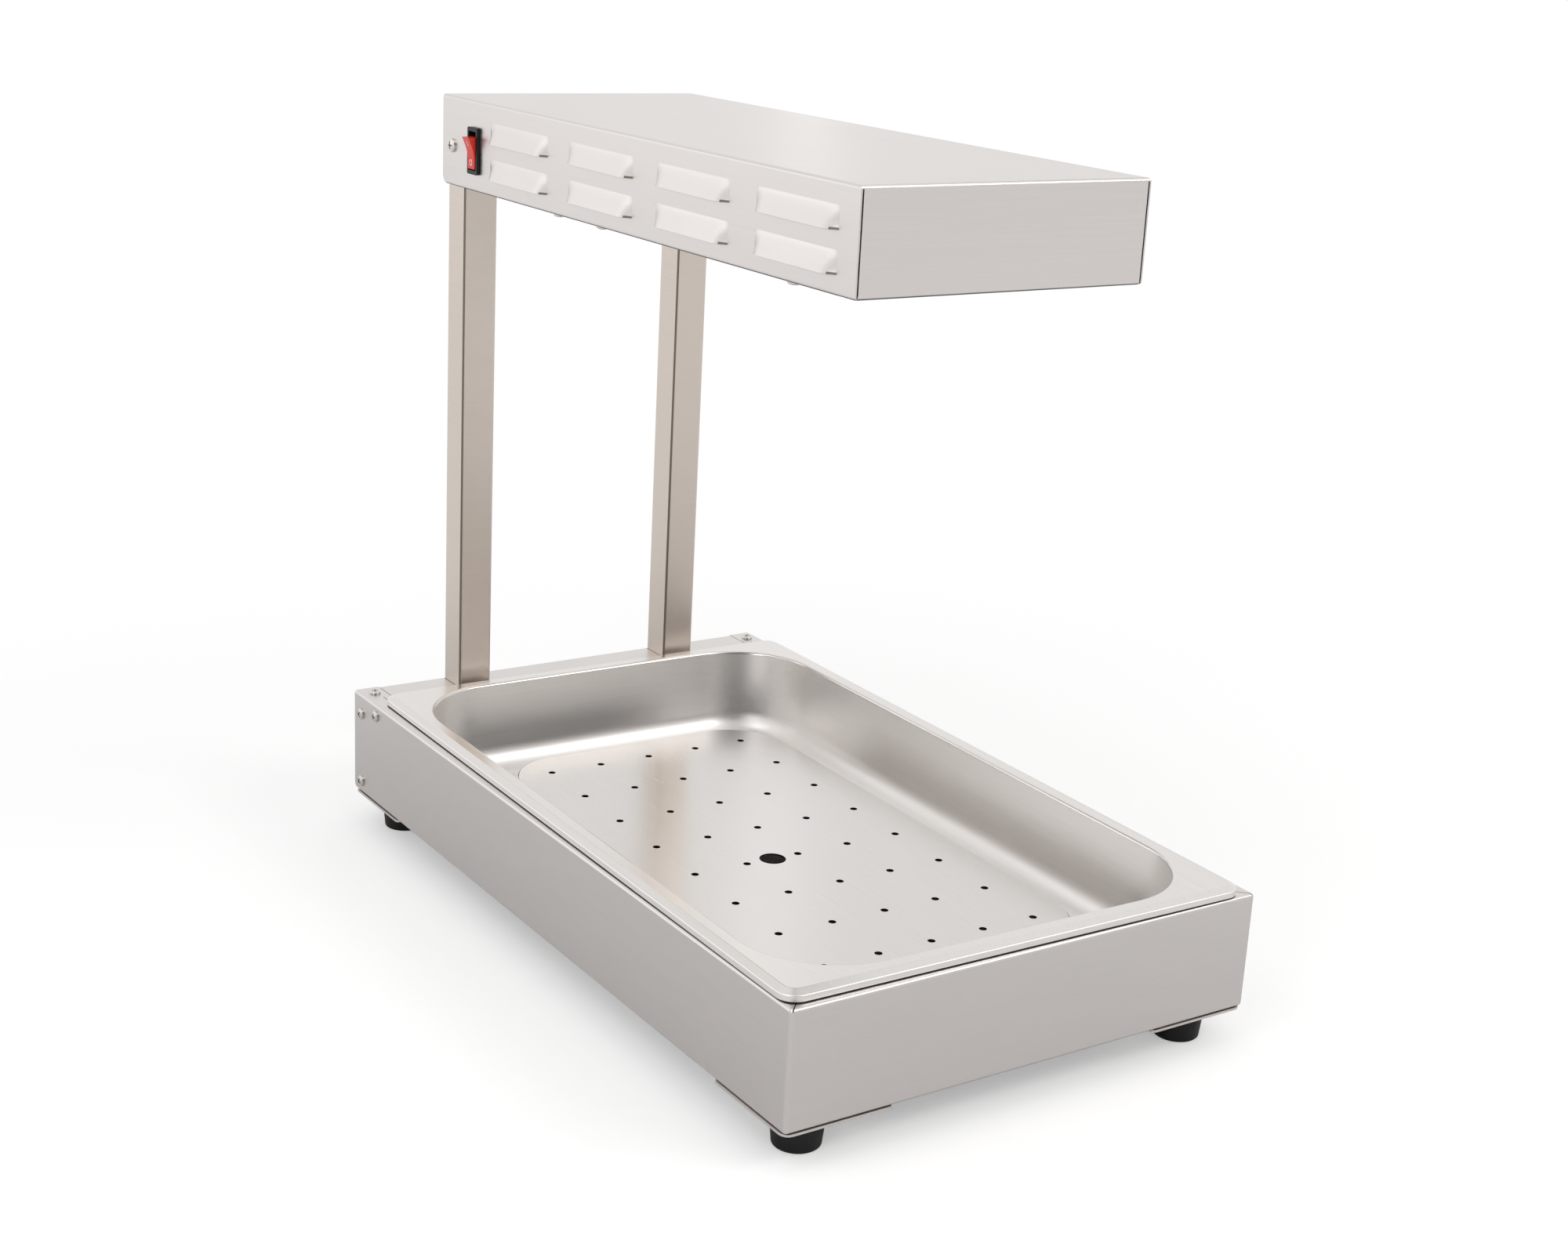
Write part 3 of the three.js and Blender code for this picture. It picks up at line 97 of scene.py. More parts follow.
class PanSizes(PropertyGroup):
    width: length("Width", 325, "Width over the rim")
    length: length("Length", 530, "Length over the rim")
    depth: length("Depth", 65, "Rim to underside of the floor")
    sheet: length("Sheet", 0.8, "Thickness of the drawn sheet")
    lip: length("Lip", 2.3, "How far the outer lip lies below the flange")
    slope: length("Slope", 5, "Run of the sloped edge of the rim")
    opening: length("Opening Inset", 13.3, "Rim edge to the mouth of the well")
    opening_corner: length("Opening Corner", 59, "Corner radius of the mouth")
    rim_corner: length("Rim Corner", 12, "Corner radius of the rim")
    taper: length("Wall Taper", 4.2, "How far the wall comes in towards the floor")
    fillet: length("Floor Fillet", 19.2, "Radius between wall and floor")
    brow: length("Brow", 2.2, "Radius between flange and wall")
    turn: rotation("Turn", -0.73, "The loose pan lies slightly turned")


class PlateSizes(PropertyGroup):
    width: length("Width", 210, "Width of the drain plate")
    length: length("Length", 400, "Length of the drain plate")
    corner: length("Corner", 42, "Corner radius")
    sheet: length("Sheet", 1, "Sheet thickness")
    skirt_inset: length("Skirt Inset", 44, "Plate end to the end of its side skirts")
    hole: length("Hole", 2.4, "Radius of a drain hole")
    flare: length("Flare", 0.08, "Rounding of a punched edge")
    burr: length("Burr", 0.8, "How far the punch has pushed the edge of a hole down")
    finger_hole: length("Finger Hole", 8.5, "Radius of the lifting hole")
    finger_x: offset("Finger X", -19.2, "Lifting hole across")
    finger_y: offset("Finger Y", -24.5, "Lifting hole along")
    columns: count("Columns", 5, "Drain holes across")
    rows: count("Rows", 8, "Drain holes along")
    pitch_x: length("Pitch Across", 38.5, "Spacing of the holes across")
    pitch_y: length("Pitch Along", 49, "Spacing of the holes along")


class HoodSizes(PropertyGroup):
    sheet: length("Sheet", 1, "Sheet thickness")
    fold: length("Fold", 2, "Outside radius of a folded edge")
    flange: length("Flange", 14, "Width of the lower flanges")
    flange_end: length("Flange End", 40.3, "Rear end of the hood to the end of its side flanges")
    seam: length("Seam", 1, "Open seam at the front corners")
    heel: length("Heel", 7, "Radius of the lower rear corners")
    louvre_length: length("Louvre Length", 80, "Length of a louvre")
    louvre_height: length("Louvre Height", 13, "Height of a louvre")
    louvre_depth: length("Louvre Depth", 5, "How far a louvre stands out")
    louvre_end: length("Louvre End", 9, "Run of its rounded ends")
    louvre_pitch: length("Louvre Pitch", 108, "Spacing along the hood")
    louvre_first: length("First Louvre", 72, "Rear end of the hood to the first louvre")
    louvre_low: length("Lower Row", 11, "Lanced edge of the lower row over the hood's edge")
    louvre_high: length("Upper Row", 34.5, "Lanced edge of the upper row over the hood's edge")
    columns: count("Columns", 4, "Louvres along each side")


class ScrewSizes(PropertyGroup):
    radius: length("Head Radius", 4, "Radius of a pan head")
    height: length("Head Height", 2.3, "Height of a pan head")
    recess: length("Recess", 2.3, "Half length of the cross recess")
    slot: length("Slot", 0.9, "Width of the cross recess")
    shank: length("Shank", 1.9, "Radius of the shank")
    reach: length("Reach", 7.5, "Length of the shank")
    head_screw_scale: FloatProperty(name="Head Screw Scale", default=1.19, min=0.5,
                                    description="Size of the two screws that hold the hood")


class FootSizes(PropertyGroup):
    top: length("Top Radius", 16, "Radius at the plate")
    bottom: length("Bottom Radius", 14.5, "Radius at the counter")
    height: length("Height", 21.9, "Height of a foot")
    recess: length("Recess", 7, "Radius of the bolt recess")
    recess_depth: length("Recess Depth", 11, "Depth of the bolt recess")


class SwitchSizes(PropertyGroup):
    width: length("Rocker Width", 10, "Width of the rocker")
    half: length("Half Length", 10.7, "Middle of the rocker to its tip")
    skirt: length("Skirt", 9.5, "Half length at the pivot")
    valley: length("Valley", 5, "Pivot to the middle of the face")
    rise: length("Tip Rise", 2.27, "How far the tips stand over the middle")
    pivot_depth: length("Pivot Depth", 4.2, "Bezel face in to the pivot")
    pin: length("Pin Radius", 1.2, "Radius of the pivot pins")
    tilt: rotation("Tilt", 12, "Tilt of the rocker at rest")


class GuardSizes(PropertyGroup):
    wire: length("Wire", 1.25, "Radius of a guard bar")
    rail: length("Rail", 1.5, "Radius of a guard rail")
    bars: count("Bars", 9, "Bars across the mouth")
    pitch: length("Pitch", 38, "Spacing of the bars")
    rail_x: length("Rail Place", 49, "Middle of the mouth to a rail")
    rail_end: length("Rail End", 6, "How far a rail runs past the last bar")


class FinishColours(PropertyGroup):
    sheet: colour("Sheet", (0.7, 0.665, 0.645), "Brushed stainless sheet")
    rim: colour("Pan Rim", (0.75, 0.72, 0.695), "Rolled rim of the pan")
    # The walls and floor are paler than the rim of the same drawn sheet: painted light that lifts
    # the shaded well
    pan: colour("Pan", (0.87, 0.845, 0.825), "Drawn walls and floor of the pan")
    plate: colour("Plate", (0.68, 0.657, 0.64), "Satin stainless drain plate")
    tube: colour("Tube", (0.66, 0.59, 0.53), "Polished stainless tube")
    screw: colour("Screws", (0.66, 0.63, 0.6), "Screw heads")
    rocker: colour("Rocker", (0.78, 0.035, 0.02), "Glossy rocker")
    plastic: colour("Plastic", (0.012, 0.012, 0.013), "Black switch and gland mouldings")
    rubber: colour("Rubber", (0.012, 0.012, 0.012), "Rubber feet")


class StageSettings(PropertyGroup):
    floor: colour("Floor", (0.9, 0.9, 0.9), "Floor and background")
    key: power("Key Lamp", 10.0, "Main soft lamp at the right front")
    fill: power("Fill Lamp", 6.0, "Upright lamp at the left front")
    top: power("Top Lamp", 3.0, "Lamp high at the left")
    side: power("Side Lamp", 2.0, "Lamp at the left rear")
    strip: power("Strip Lamp", 0.035, "Narrow lamp at the right rear")
    ambient: share("Ambient", 0.58, "Strength of the sky on matt surfaces")
    paper_lift: share("Paper Lift", 0.34, "White that the camera sees added to the floor")
    paper_mirrored: share("Mirrored Paper", 0.93, "Far floor as metal shows it")
    onlooker: share("Onlooker", 0.15, "Brightness, as metal shows it, of where the camera stands")
    lens: FloatProperty(name="Lens", description="Focal length in millimetres on a 36 mm sensor",
                        default=53.75, unit="CAMERA")


class StationSettings(PropertyGroup):
    pan: PointerProperty(type=PanSizes)
    plate: PointerProperty(type=PlateSizes)
    hood: PointerProperty(type=HoodSizes)
    screw: PointerProperty(type=ScrewSizes)
    foot: PointerProperty(type=FootSizes)
    switch: PointerProperty(type=SwitchSizes)
    guard: PointerProperty(type=GuardSizes)
    finish: PointerProperty(type=FinishColours)
    stage: PointerProperty(type=StageSettings)


def settings():
    return bpy.context.scene.dump_station


# Node tools

def feed(tree, node, inputs):
    """Gives a node its inputs, by name or number. They are values or output sockets."""
    for key, value in inputs.items():
        socket = node.inputs[key]
        if isinstance(value, bpy.types.NodeSocket):
            tree.links.new(value, socket)
        else:
            socket.default_value = value


def add_node(tree, kind, inputs=None, **attributes):
    """Adds a node: first its attributes, then its inputs."""
    made = tree.nodes.new(kind)
    for name, value in attributes.items():
        setattr(made, name, value)
    feed(tree, made, inputs or {})
    return made


def math_node(tree, operation, first, second=0.0):
    return add_node(tree, "ShaderNodeMath", {0: first, 1: second}, operation=operation).outputs[0]


def ranged(tree, value, low, high, to_low=0.0, to_high=1.0):
    """A value taken from one range to another and held inside it."""
    return add_node(tree, "ShaderNodeMapRange", {
        "Value": value, "From Min": low, "From Max": high, "To Min": to_low, "To Max": to_high,
    }).outputs["Result"]


def noise(tree, vector, scale, detail=3.0, roughness=0.5, distortion=0.0):
    return add_node(tree, "ShaderNodeTexNoise", {
        "Vector": vector, "Scale": scale, "Detail": detail, "Roughness": roughness,
        "Distortion": distortion,
    }).outputs["Fac"]


def stretched(tree, vector, scale):
    return add_node(tree, "ShaderNodeMapping", {"Vector": vector, "Scale": scale}).outputs["Vector"]


def shader_group(name, inputs, outputs, build):
    """A shader node group, built once. inputs is a dict of names and defaults."""
    if name in bpy.data.node_groups:
        return bpy.data.node_groups[name]
    tree = bpy.data.node_groups.new(name, "ShaderNodeTree")
    for label, default in inputs.items():
        socket = tree.interface.new_socket(label, in_out="INPUT", socket_type="NodeSocketFloat")
        socket.default_value = default
    for label in outputs:
        tree.interface.new_socket(label, in_out="OUTPUT", socket_type="NodeSocketFloat")
    source = tree.nodes.new("NodeGroupInput")
    sink = tree.nodes.new("NodeGroupOutput")
    for label, socket in build(tree, source.outputs).items():
        tree.links.new(socket, sink.inputs[label])
    return tree


GRAIN_STRETCH = 0.018


def grain_nodes(tree, given):
    """Brush marks that run along Y on tops and sides and along X on the faces that look to Y."""
    coordinate = add_node(tree, "ShaderNodeTexCoord").outputs
    facing = add_node(tree, "ShaderNodeSeparateXYZ", {0: coordinate["Normal"]}).outputs["Y"]
    to_y = ranged(tree, math_node(tree, "ABSOLUTE", facing), 0.6, 0.8)
    along_y, along_x = (
        noise(tree, stretched(tree, coordinate["Object"], scale), given["Marks"])
        for scale in ((1.0, GRAIN_STRETCH, 1.0), (GRAIN_STRETCH, 1.0, 1.0)))
    mixed = add_node(tree, "ShaderNodeMix", {"Factor": to_y, "A": along_y, "B": along_x},
                     data_type="FLOAT").outputs["Result"]
    return {"Height": mixed, "Tone": ranged(tree, mixed, 0.3, 0.7)}


def handling_nodes(tree, given):
    """Large soft patches and small smears that handling leaves on metal and gloss."""
    place = object_place(tree)
    patches = noise(tree, place, given["Patches"], detail=2.0)
    smears = noise(tree, stretched(tree, place, (1.0, 0.4, 2.0)), given["Smears"], detail=4.0,
                   roughness=0.6, distortion=0.6)
    soft = ranged(tree, patches, 0.35, 0.65)
    fine = ranged(tree, smears, 0.5, 0.72)
    return {"Mask": math_node(tree, "MULTIPLY", soft, fine), "Patch": soft}


def scratch_nodes(tree, given):
    """Sparse hairline scratches, as a height that falls into each line."""
    place = object_place(tree)
    slanted = add_node(tree, "ShaderNodeMapping", {
        "Vector": place, "Rotation": (0.3, 0.2, 0.5), "Scale": (1.0, 0.02, 1.0),
    }).outputs["Vector"]
    line = ranged(tree, noise(tree, slanted, given["Scale"], detail=0.0), 0.7, 0.78)
    keep = ranged(tree, noise(tree, place, 31.0), 0.52, 0.6)
    return {"Scratch": math_node(tree, "MULTIPLY", line, keep)}


def brush_marks(tree, **inputs):
    group = shader_group("brush_marks", {"Marks": 900.0}, ("Height", "Tone"), grain_nodes)
    return add_node(tree, "ShaderNodeGroup", inputs, node_tree=group).outputs


def handling(tree, **inputs):
    group = shader_group("handling", {"Patches": 5.0, "Smears": 30.0}, ("Mask", "Patch"),
                         handling_nodes)
    return add_node(tree, "ShaderNodeGroup", inputs, node_tree=group).outputs


def scratches(tree):
    group = shader_group("scratches", {"Scale": 1800.0}, ("Scratch",), scratch_nodes)
    return add_node(tree, "ShaderNodeGroup", node_tree=group).outputs


def object_place(tree):
    """The place on the object, in metres."""
    return add_node(tree, "ShaderNodeTexCoord").outputs["Object"]


def blank_material(name):
    made = bpy.data.materials.new(name)
    made.use_nodes = True
    tree = made.node_tree
    surface = tree.nodes["Principled BSDF"]
    return made, tree, surface


def shade(base, factor):
    return (base[0] * factor, base[1] * factor, base[2] * factor, 1.0)


def toned(tree, factor, base, dark):
    """A colour that falls to a darker share of itself where the factor is low."""
    return add_node(tree, "ShaderNodeMix", {
        "Factor": factor, "A": shade(base, dark), "B": shade(base, 1.0),
    }, data_type="RGBA").outputs["Result"]


def bump(tree, height, strength, distance):
    return add_node(tree, "ShaderNodeBump", {
        "Height": height, "Strength": strength, "Distance": distance,
    }).outputs["Normal"]


# Materials

GRAIN_DEPTH = 0.02 * MM
BETWEEN_MARKS = 0.965
SMEARED = 0.8
SCRATCH_ROUGHNESS, SCRATCH_DEPTH = 0.05, 0.15
SMEAR_ROUGHNESS, COAT_ROUGHNESS = 0.1, 0.08
SKIN_STRENGTH = 0.5
CRYSTALS, CRYSTAL_SPREAD, CRYSTAL_TONE = 320.0, 0.12, 0.85


def steel(name, base, roughness, marks=900.0, grain=0.25, spread=0.07):
    """Stainless steel with brush marks, soft patches of handling and hairline scratches."""
    made, tree, surface = blank_material(name)
    brushed = brush_marks(tree, Marks=marks)
    mask = handling(tree)["Mask"]
    scratch = scratches(tree)["Scratch"]
    marked = math_node(tree, "ADD", math_node(tree, "MULTIPLY", brushed["Tone"], spread),
                       math_node(tree, "MULTIPLY", mask, spread * SMEARED))
    worn = math_node(tree, "ADD", marked,
                     math_node(tree, "MULTIPLY", scratch, SCRATCH_ROUGHNESS))
    height = math_node(tree, "SUBTRACT", brushed["Height"],
                       math_node(tree, "MULTIPLY", scratch, SCRATCH_DEPTH))
    feed(tree, surface, {
        "Metallic": 1.0, "Base Color": toned(tree, brushed["Tone"], base, BETWEEN_MARKS),
        "Roughness": math_node(tree, "ADD", worn, roughness),
        "Normal": bump(tree, height, grain, GRAIN_DEPTH),
    })
    return made


def moulded(name, base, roughness, texture=700.0, depth=0.03 * MM, coat=0.0, tone=0.8,
            gloss=0.5):
    """Moulded plastic, rubber, ceramic or print: a fine skin texture and handling marks."""
    made, tree, surface = blank_material(name)
    place = object_place(tree)
    skin = noise(tree, place, texture, detail=2.0)
    handled = handling(tree, Patches=28.0, Smears=120.0)
    smeared = math_node(tree, "MULTIPLY", handled["Mask"], SMEAR_ROUGHNESS)
    feed(tree, surface, {
        "Base Color": toned(tree, handled["Patch"], base, tone),
        "Roughness": math_node(tree, "ADD", smeared, roughness),
        "Specular IOR Level": gloss, "Coat Weight": coat, "Coat Roughness": COAT_ROUGHNESS,
        "Normal": bump(tree, skin, SKIN_STRENGTH, depth),
    })
    return made


def plated(name, base, roughness):
    """Zinc-plated steel, whose crystals give small cells of tone."""
    made, tree, surface = blank_material(name)
    place = object_place(tree)
    cells = add_node(tree, "ShaderNodeTexVoronoi", {"Vector": place, "Scale": CRYSTALS})
    cell = add_node(tree, "ShaderNodeSeparateColor", {0: cells.outputs["Color"]}).outputs["Red"]
    feed(tree, surface, {
        "Metallic": 1.0, "Base Color": toned(tree, cell, base, CRYSTAL_TONE),
        "Roughness": ranged(tree, cell, 0.0, 1.0, roughness, roughness + CRYSTAL_SPREAD),
        "Normal": bump(tree, noise(tree, place, 260.0), 0.3, 0.03 * MM),
    })
    return made


HEAT_TINTS = ((0.25, (0.16, 0.11, 0.08, 1)), (0.45, (0.3, 0.27, 0.25, 1)),
              (0.6, (0.2, 0.2, 0.26, 1)), (0.8, (0.36, 0.32, 0.28, 1)))


def heat_tinted(name):
    """A heater sheath: dark oxide with straw and blue tints in slow bands."""
    made, tree, surface = blank_material(name)
    place = object_place(tree)
    band = noise(tree, stretched(tree, place, (1.0, 0.35, 1.0)), 34.0, detail=2.0)
    ramp = add_node(tree, "ShaderNodeValToRGB", {"Fac": band})
    stops = ramp.color_ramp.elements
    for index, (position, tint) in enumerate(HEAT_TINTS):
        stop = stops[index] if index < 2 else stops.new(position)
        stop.position, stop.color = position, tint
    feed(tree, surface, {
        "Metallic": 1.0, "Base Color": ramp.outputs["Color"],
        "Roughness": ranged(tree, band, 0.3, 0.7, 0.36, 0.52),
        "Normal": bump(tree, noise(tree, place, 500.0), 0.4, 0.04 * MM),
    })
    return made


WIRES = {
    "wire_live": ("wire_black", (0.03, 0.03, 0.03)),
    "wire_switched": ("wire_red", (0.42, 0.02, 0.015)),
    "wire_neutral": ("wire_white", (0.76, 0.74, 0.7)),
    "wire_earth": ("wire_green", (0.06, 0.26, 0.05)),
}


def build_materials():
    finish = settings().finish
    made = {
        "sheet": steel("brushed_sheet", finish.sheet, 0.3),
        # Paler than the rim of the same sheet: painted light in the well
        "pan": steel("drawn_pan", finish.pan, 0.38, marks=700.0, grain=0.08, spread=0.04),
        "rim": steel("rolled_rim", finish.rim, 0.21, marks=700.0, grain=0.08, spread=0.04),
        "plate": steel("satin_plate", finish.plate, 0.21, marks=700.0, grain=0.05, spread=0.03),
        # A real dark weld seam on the posts, and painted shade at the ends of the louvre openings
        # on the hood
        "weld_and_shade": steel("ground_weld", (0.2, 0.17, 0.14), 0.4, marks=2000.0),
        # Painted shade: dark dull steel for faces that look down, so that undersides read as
        # shadowed
        "under": steel("dull_underside", (0.2, 0.192, 0.185), 0.5, marks=700.0),
        # Painted shade: near-black steel on the walls of the drain holes, standing in for the
        # shadow inside them
        "punched": steel("punched_edge", (0.03, 0.03, 0.03), 0.55, marks=2000.0),
        "tube": steel("polished_tube", finish.tube, 0.3, marks=700.0, grain=0.1, spread=0.05),
        "mirror": steel("reflector_sheet", (0.86, 0.87, 0.88), 0.07, grain=0.05, spread=0.03),
        "screw": steel("screw_steel", finish.screw, 0.2, marks=2500.0, grain=0.1),
        "blade": steel("contact_metal", (0.77, 0.54, 0.32), 0.25, marks=2000.0),
        "zinc": plated("zinc_plate", (0.64, 0.65, 0.66), 0.34),
        "sheath": heat_tinted("heated_sheath"),
        "rubber": moulded("foot_rubber", finish.rubber, 0.5, texture=450.0, tone=0.6, gloss=0.3),
        "plastic": moulded("switch_plastic", finish.plastic, 0.35, texture=900.0, gloss=0.25),
        "rocker": moulded("rocker_plastic", finish.rocker, 0.3, texture=300.0, depth=0.01 * MM,
                          coat=0.1, tone=0.93, gloss=0.3),
        "print": moulded("rocker_print", (0.86, 0.86, 0.84), 0.4, tone=0.95),
        "ceramic": moulded("terminal_ceramic", (0.8, 0.76, 0.68), 0.55, texture=600.0, tone=0.9),
    }
    for name, (_, base) in WIRES.items():
        made[name] = moulded(name + "_sleeve", base, 0.42, texture=350.0)
    return made


MATERIALS = {}


def finish_of(name):
    if not MATERIALS:
        MATERIALS.update(build_materials())
    return MATERIALS[name]


# Mesh tools

def new_object(name, mesh):
    made = bpy.data.objects.new(name, mesh)
    bpy.context.scene.collection.objects.link(made)
    return made


def object_from(name, shape):
    """An object from a bmesh, which is freed."""
    mesh = bpy.data.meshes.new(name)
    shape.to_mesh(mesh)
    shape.free()
    return new_object(name, mesh)


def discard(piece):
    old = piece.data
    bpy.data.objects.remove(piece)
    bpy.data.meshes.remove(old)


def settle(piece):
    """Turns an object's modifiers into plain mesh."""
    depsgraph = bpy.context.evaluated_depsgraph_get()
    mesh = bpy.data.meshes.new_from_object(piece.evaluated_get(depsgraph), depsgraph=depsgraph)
    old = piece.data
    piece.modifiers.clear()
    piece.data = mesh
    bpy.data.meshes.remove(old)
    return piece


def smooth(piece, angle=40.0):
    """Smooth shading that breaks at edges sharper than the angle and keeps flat faces flat."""
    shape = bmesh.new()
    shape.from_mesh(piece.data)
    limit = math.radians(angle)
    for face in shape.faces:
        face.smooth = True
    for edge in shape.edges:
        edge.smooth = len(edge.link_faces) == 2 and edge.calc_face_angle(0.0) < limit
    shape.to_mesh(piece.data)
    shape.free()
    weighted = piece.modifiers.new("flat faces", "WEIGHTED_NORMAL")
    weighted.keep_sharp = True
    weighted.weight = 80
    return settle(piece)


def round_edges(piece, width, segments=2, angle=38.0):
    """A small rounding on every sharp edge."""
    bevel = piece.modifiers.new("rounded edges", "BEVEL")
    bevel.width = width
    bevel.segments = segments
    bevel.limit_method = "ANGLE"
    bevel.angle_limit = math.radians(angle)
    bevel.use_clamp_overlap = True
    return settle(piece)


def thicken(piece, sheet, even=True):
    """Gives a skin its sheet thickness, on the inside."""
    wall = piece.modifiers.new("sheet", "SOLIDIFY")
    wall.thickness = sheet
    wall.offset = -1.0
    wall.use_even_offset = even
    return settle(piece)


def add_to(piece, other):
    """Adds the mesh of another object to a piece, and drops that object."""
    whole = bmesh.new()
    whole.from_mesh(piece.data)
    whole.from_mesh(other.data)
    whole.to_mesh(piece.data)
    whole.free()
    discard(other)
    return piece


def cut(piece, cutters):
    """Cuts bmeshes out of a piece, one after another."""
    for shape in cutters:
        tool = object_from("cutter", shape)
        boolean = piece.modifiers.new("cut", "BOOLEAN")
        boolean.operation = "DIFFERENCE"
        boolean.solver = "EXACT"
        boolean.object = tool
        settle(piece)
        discard(tool)
    return piece


def block(low, high):
    """A box between two corners."""
    shape = bmesh.new()
    size = Vector(high) - Vector(low)
    middle = (Vector(high) + Vector(low)) / 2
    bmesh.ops.create_cube(shape, size=1.0,
                          matrix=Matrix.Translation(middle) @ Matrix.Diagonal((*size, 1.0)))
    return shape


def joined(shapes):
    """Several bmeshes as one."""
    whole = bmesh.new()
    for shape in shapes:
        mesh = bpy.data.meshes.new("part")
        shape.to_mesh(mesh)
        shape.free()
        whole.from_mesh(mesh)
        bpy.data.meshes.remove(mesh)
    return whole


def rounded_line(corners, steps):
    """The points of a line through (across, height, radius) corners, rounded to each radius."""
    line = []
    for i, (x, z, radius) in enumerate(corners):
        here = Vector((x, z))
        if i in (0, len(corners) - 1) or radius == 0.0:
            line.append(here)
            continue
        before = (Vector(corners[i - 1][:2]) - here).normalized()
        after = (Vector(corners[i + 1][:2]) - here).normalized()
        half = before.angle(after) / 2
        reach = radius / math.tan(half)
        centre = here + (before + after).normalized() * (radius / math.sin(half))
        start = here + before * reach - centre
        end = here + after * reach - centre
        turn = start.angle_signed(end)
        for step in range(steps + 1):
            line.append(centre + Matrix.Rotation(-turn * step / steps, 2) @ start)
    return [tuple(point) for point in line]


def rounded_loop(half_width, half_length, corner, height, steps=24):
    """One rounded rectangle, counterclockwise, with as many points whatever its size."""
    points = []
    for side_x, side_y, quarter in ((1, -1, -1), (1, 1, 0), (-1, 1, 1), (-1, -1, 2)):
        x = side_x * (half_width - corner)
        y = side_y * (half_length - corner)
        for step in range(steps + 1):
            angle = (quarter + step / steps) * math.pi / 2
            points.append(Vector((x + corner * math.cos(angle),
                                  y + corner * math.sin(angle), height)))
    return points


SAME_POINT = 1e-7


def skinned(loops, close_last=True, close_first=False):
    """Faces between neighbouring loops of points, with flat ends where asked."""
    shape = bmesh.new()
    rows = [[shape.verts.new(point) for point in loop] for loop in loops]
    size = len(rows[0])
    for lower, upper in zip(rows, rows[1:]):
        for i in range(size):
            j = (i + 1) % size
            shape.faces.new((lower[i], lower[j], upper[j], upper[i]))
    if close_last:
        shape.faces.new(rows[-1])
    if close_first:
        shape.faces.new(reversed(rows[0]))
    return shape


def turned(section, sides):
    """Turns (radius, height) points round Z. A radius of zero makes a pole."""
    shape = bmesh.new()
    rows = []
    for radius, height in section:
        if radius == 0.0:
            rows.append([shape.verts.new((0.0, 0.0, height))])
        else:
            rows.append([shape.verts.new((radius * math.cos(2 * math.pi * i / sides),
                                          radius * math.sin(2 * math.pi * i / sides), height))
                         for i in range(sides)])
    for lower, upper in zip(rows, rows[1:]):
        for i in range(sides):
            j = (i + 1) % sides
            corners = [lower[i % len(lower)], lower[j % len(lower)],
                       upper[j % len(upper)], upper[i % len(upper)]]
            shape.faces.new(list(dict.fromkeys(corners)))
    bmesh.ops.remove_doubles(shape, verts=shape.verts, dist=SAME_POINT)
    bmesh.ops.recalc_face_normals(shape, faces=shape.faces)
    return shape


MERGED_WITHIN = 2e-6
FLAT = math.radians(0.6)


def copy_of(node, name, width=0.0):
    """A finished copy of a CAD node: merged, its flat faces joined, its edges rounded."""
    shape = bmesh.new()
    shape.from_mesh(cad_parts[node].data)
    bmesh.ops.remove_doubles(shape, verts=shape.verts, dist=MERGED_WITHIN)
    bmesh.ops.dissolve_limit(shape, angle_limit=FLAT, verts=shape.verts,
                             edges=shape.edges, delimit={"NORMAL"})
    piece = object_from(name, shape)
    piece.data.materials.clear()
    if width > 0.0:
        round_edges(piece, width)
    return smooth(piece)


def middle_of(node):
    low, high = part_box(node)
    return (low + high) / 2


def give(piece, finish, slot, body, *nodes):
    """Gives a piece its finish and body, and hides the CAD nodes that it stands for."""
    piece.data.materials.clear()
    piece.data.materials.append(finish_of(finish))
    for face in piece.data.polygons:
        face.material_index = 0
    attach(piece, body)
    if nodes:
        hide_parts(*nodes)
    return piece


def give_copies(rows):
    """Finishes copies of CAD nodes: rows of node, name, finish, slot and rounding in mm."""
    for node, name, finish, slot, width in rows:
        give(copy_of(node, name, width * MM), finish, slot, STATION, node)


def add_finishes(piece, *finishes):
    """Adds materials to a piece's first one, for the faces that need them."""
    for finish in finishes:
        piece.data.materials.append(finish_of(finish))


# Geometry node tools

def geometry_group(name, labels):
    """A geometry node tree that takes a geometry, the labelled inputs and a finish."""
    tree = bpy.data.node_groups.new(name, "GeometryNodeTree")
    kinds = {"Geometry": "Geometry", **labels, "Finish": "Material"}
    for label, kind in kinds.items():
        tree.interface.new_socket(label, in_out="INPUT", socket_type="NodeSocket" + kind)
    tree.interface.new_socket("Geometry", in_out="OUTPUT", socket_type="NodeSocketGeometry")
    return tree, tree.nodes.new("NodeGroupInput").outputs


def give_back(tree, geometry, finish):
    """Ends a geometry node tree: real meshes in one finish."""
    real = add_node(tree, "GeometryNodeRealizeInstances", {0: geometry}).outputs[0]
    done = add_node(tree, "GeometryNodeSetMaterial", {0: real, "Material": finish}).outputs[0]
    add_node(tree, "NodeGroupOutput", {0: done})


def run_group(piece, tree, values):
    """Runs a geometry node tree on a piece with its named inputs set, and keeps the result."""
    modifier = piece.modifiers.new(tree.name, "NODES")
    modifier.node_group = tree
    identifiers = {item.name: item.identifier for item in tree.interface.items_tree
                   if item.in_out == "INPUT"}
    for label, value in values.items():
        modifier[identifiers[label]] = value
    return settle(piece)


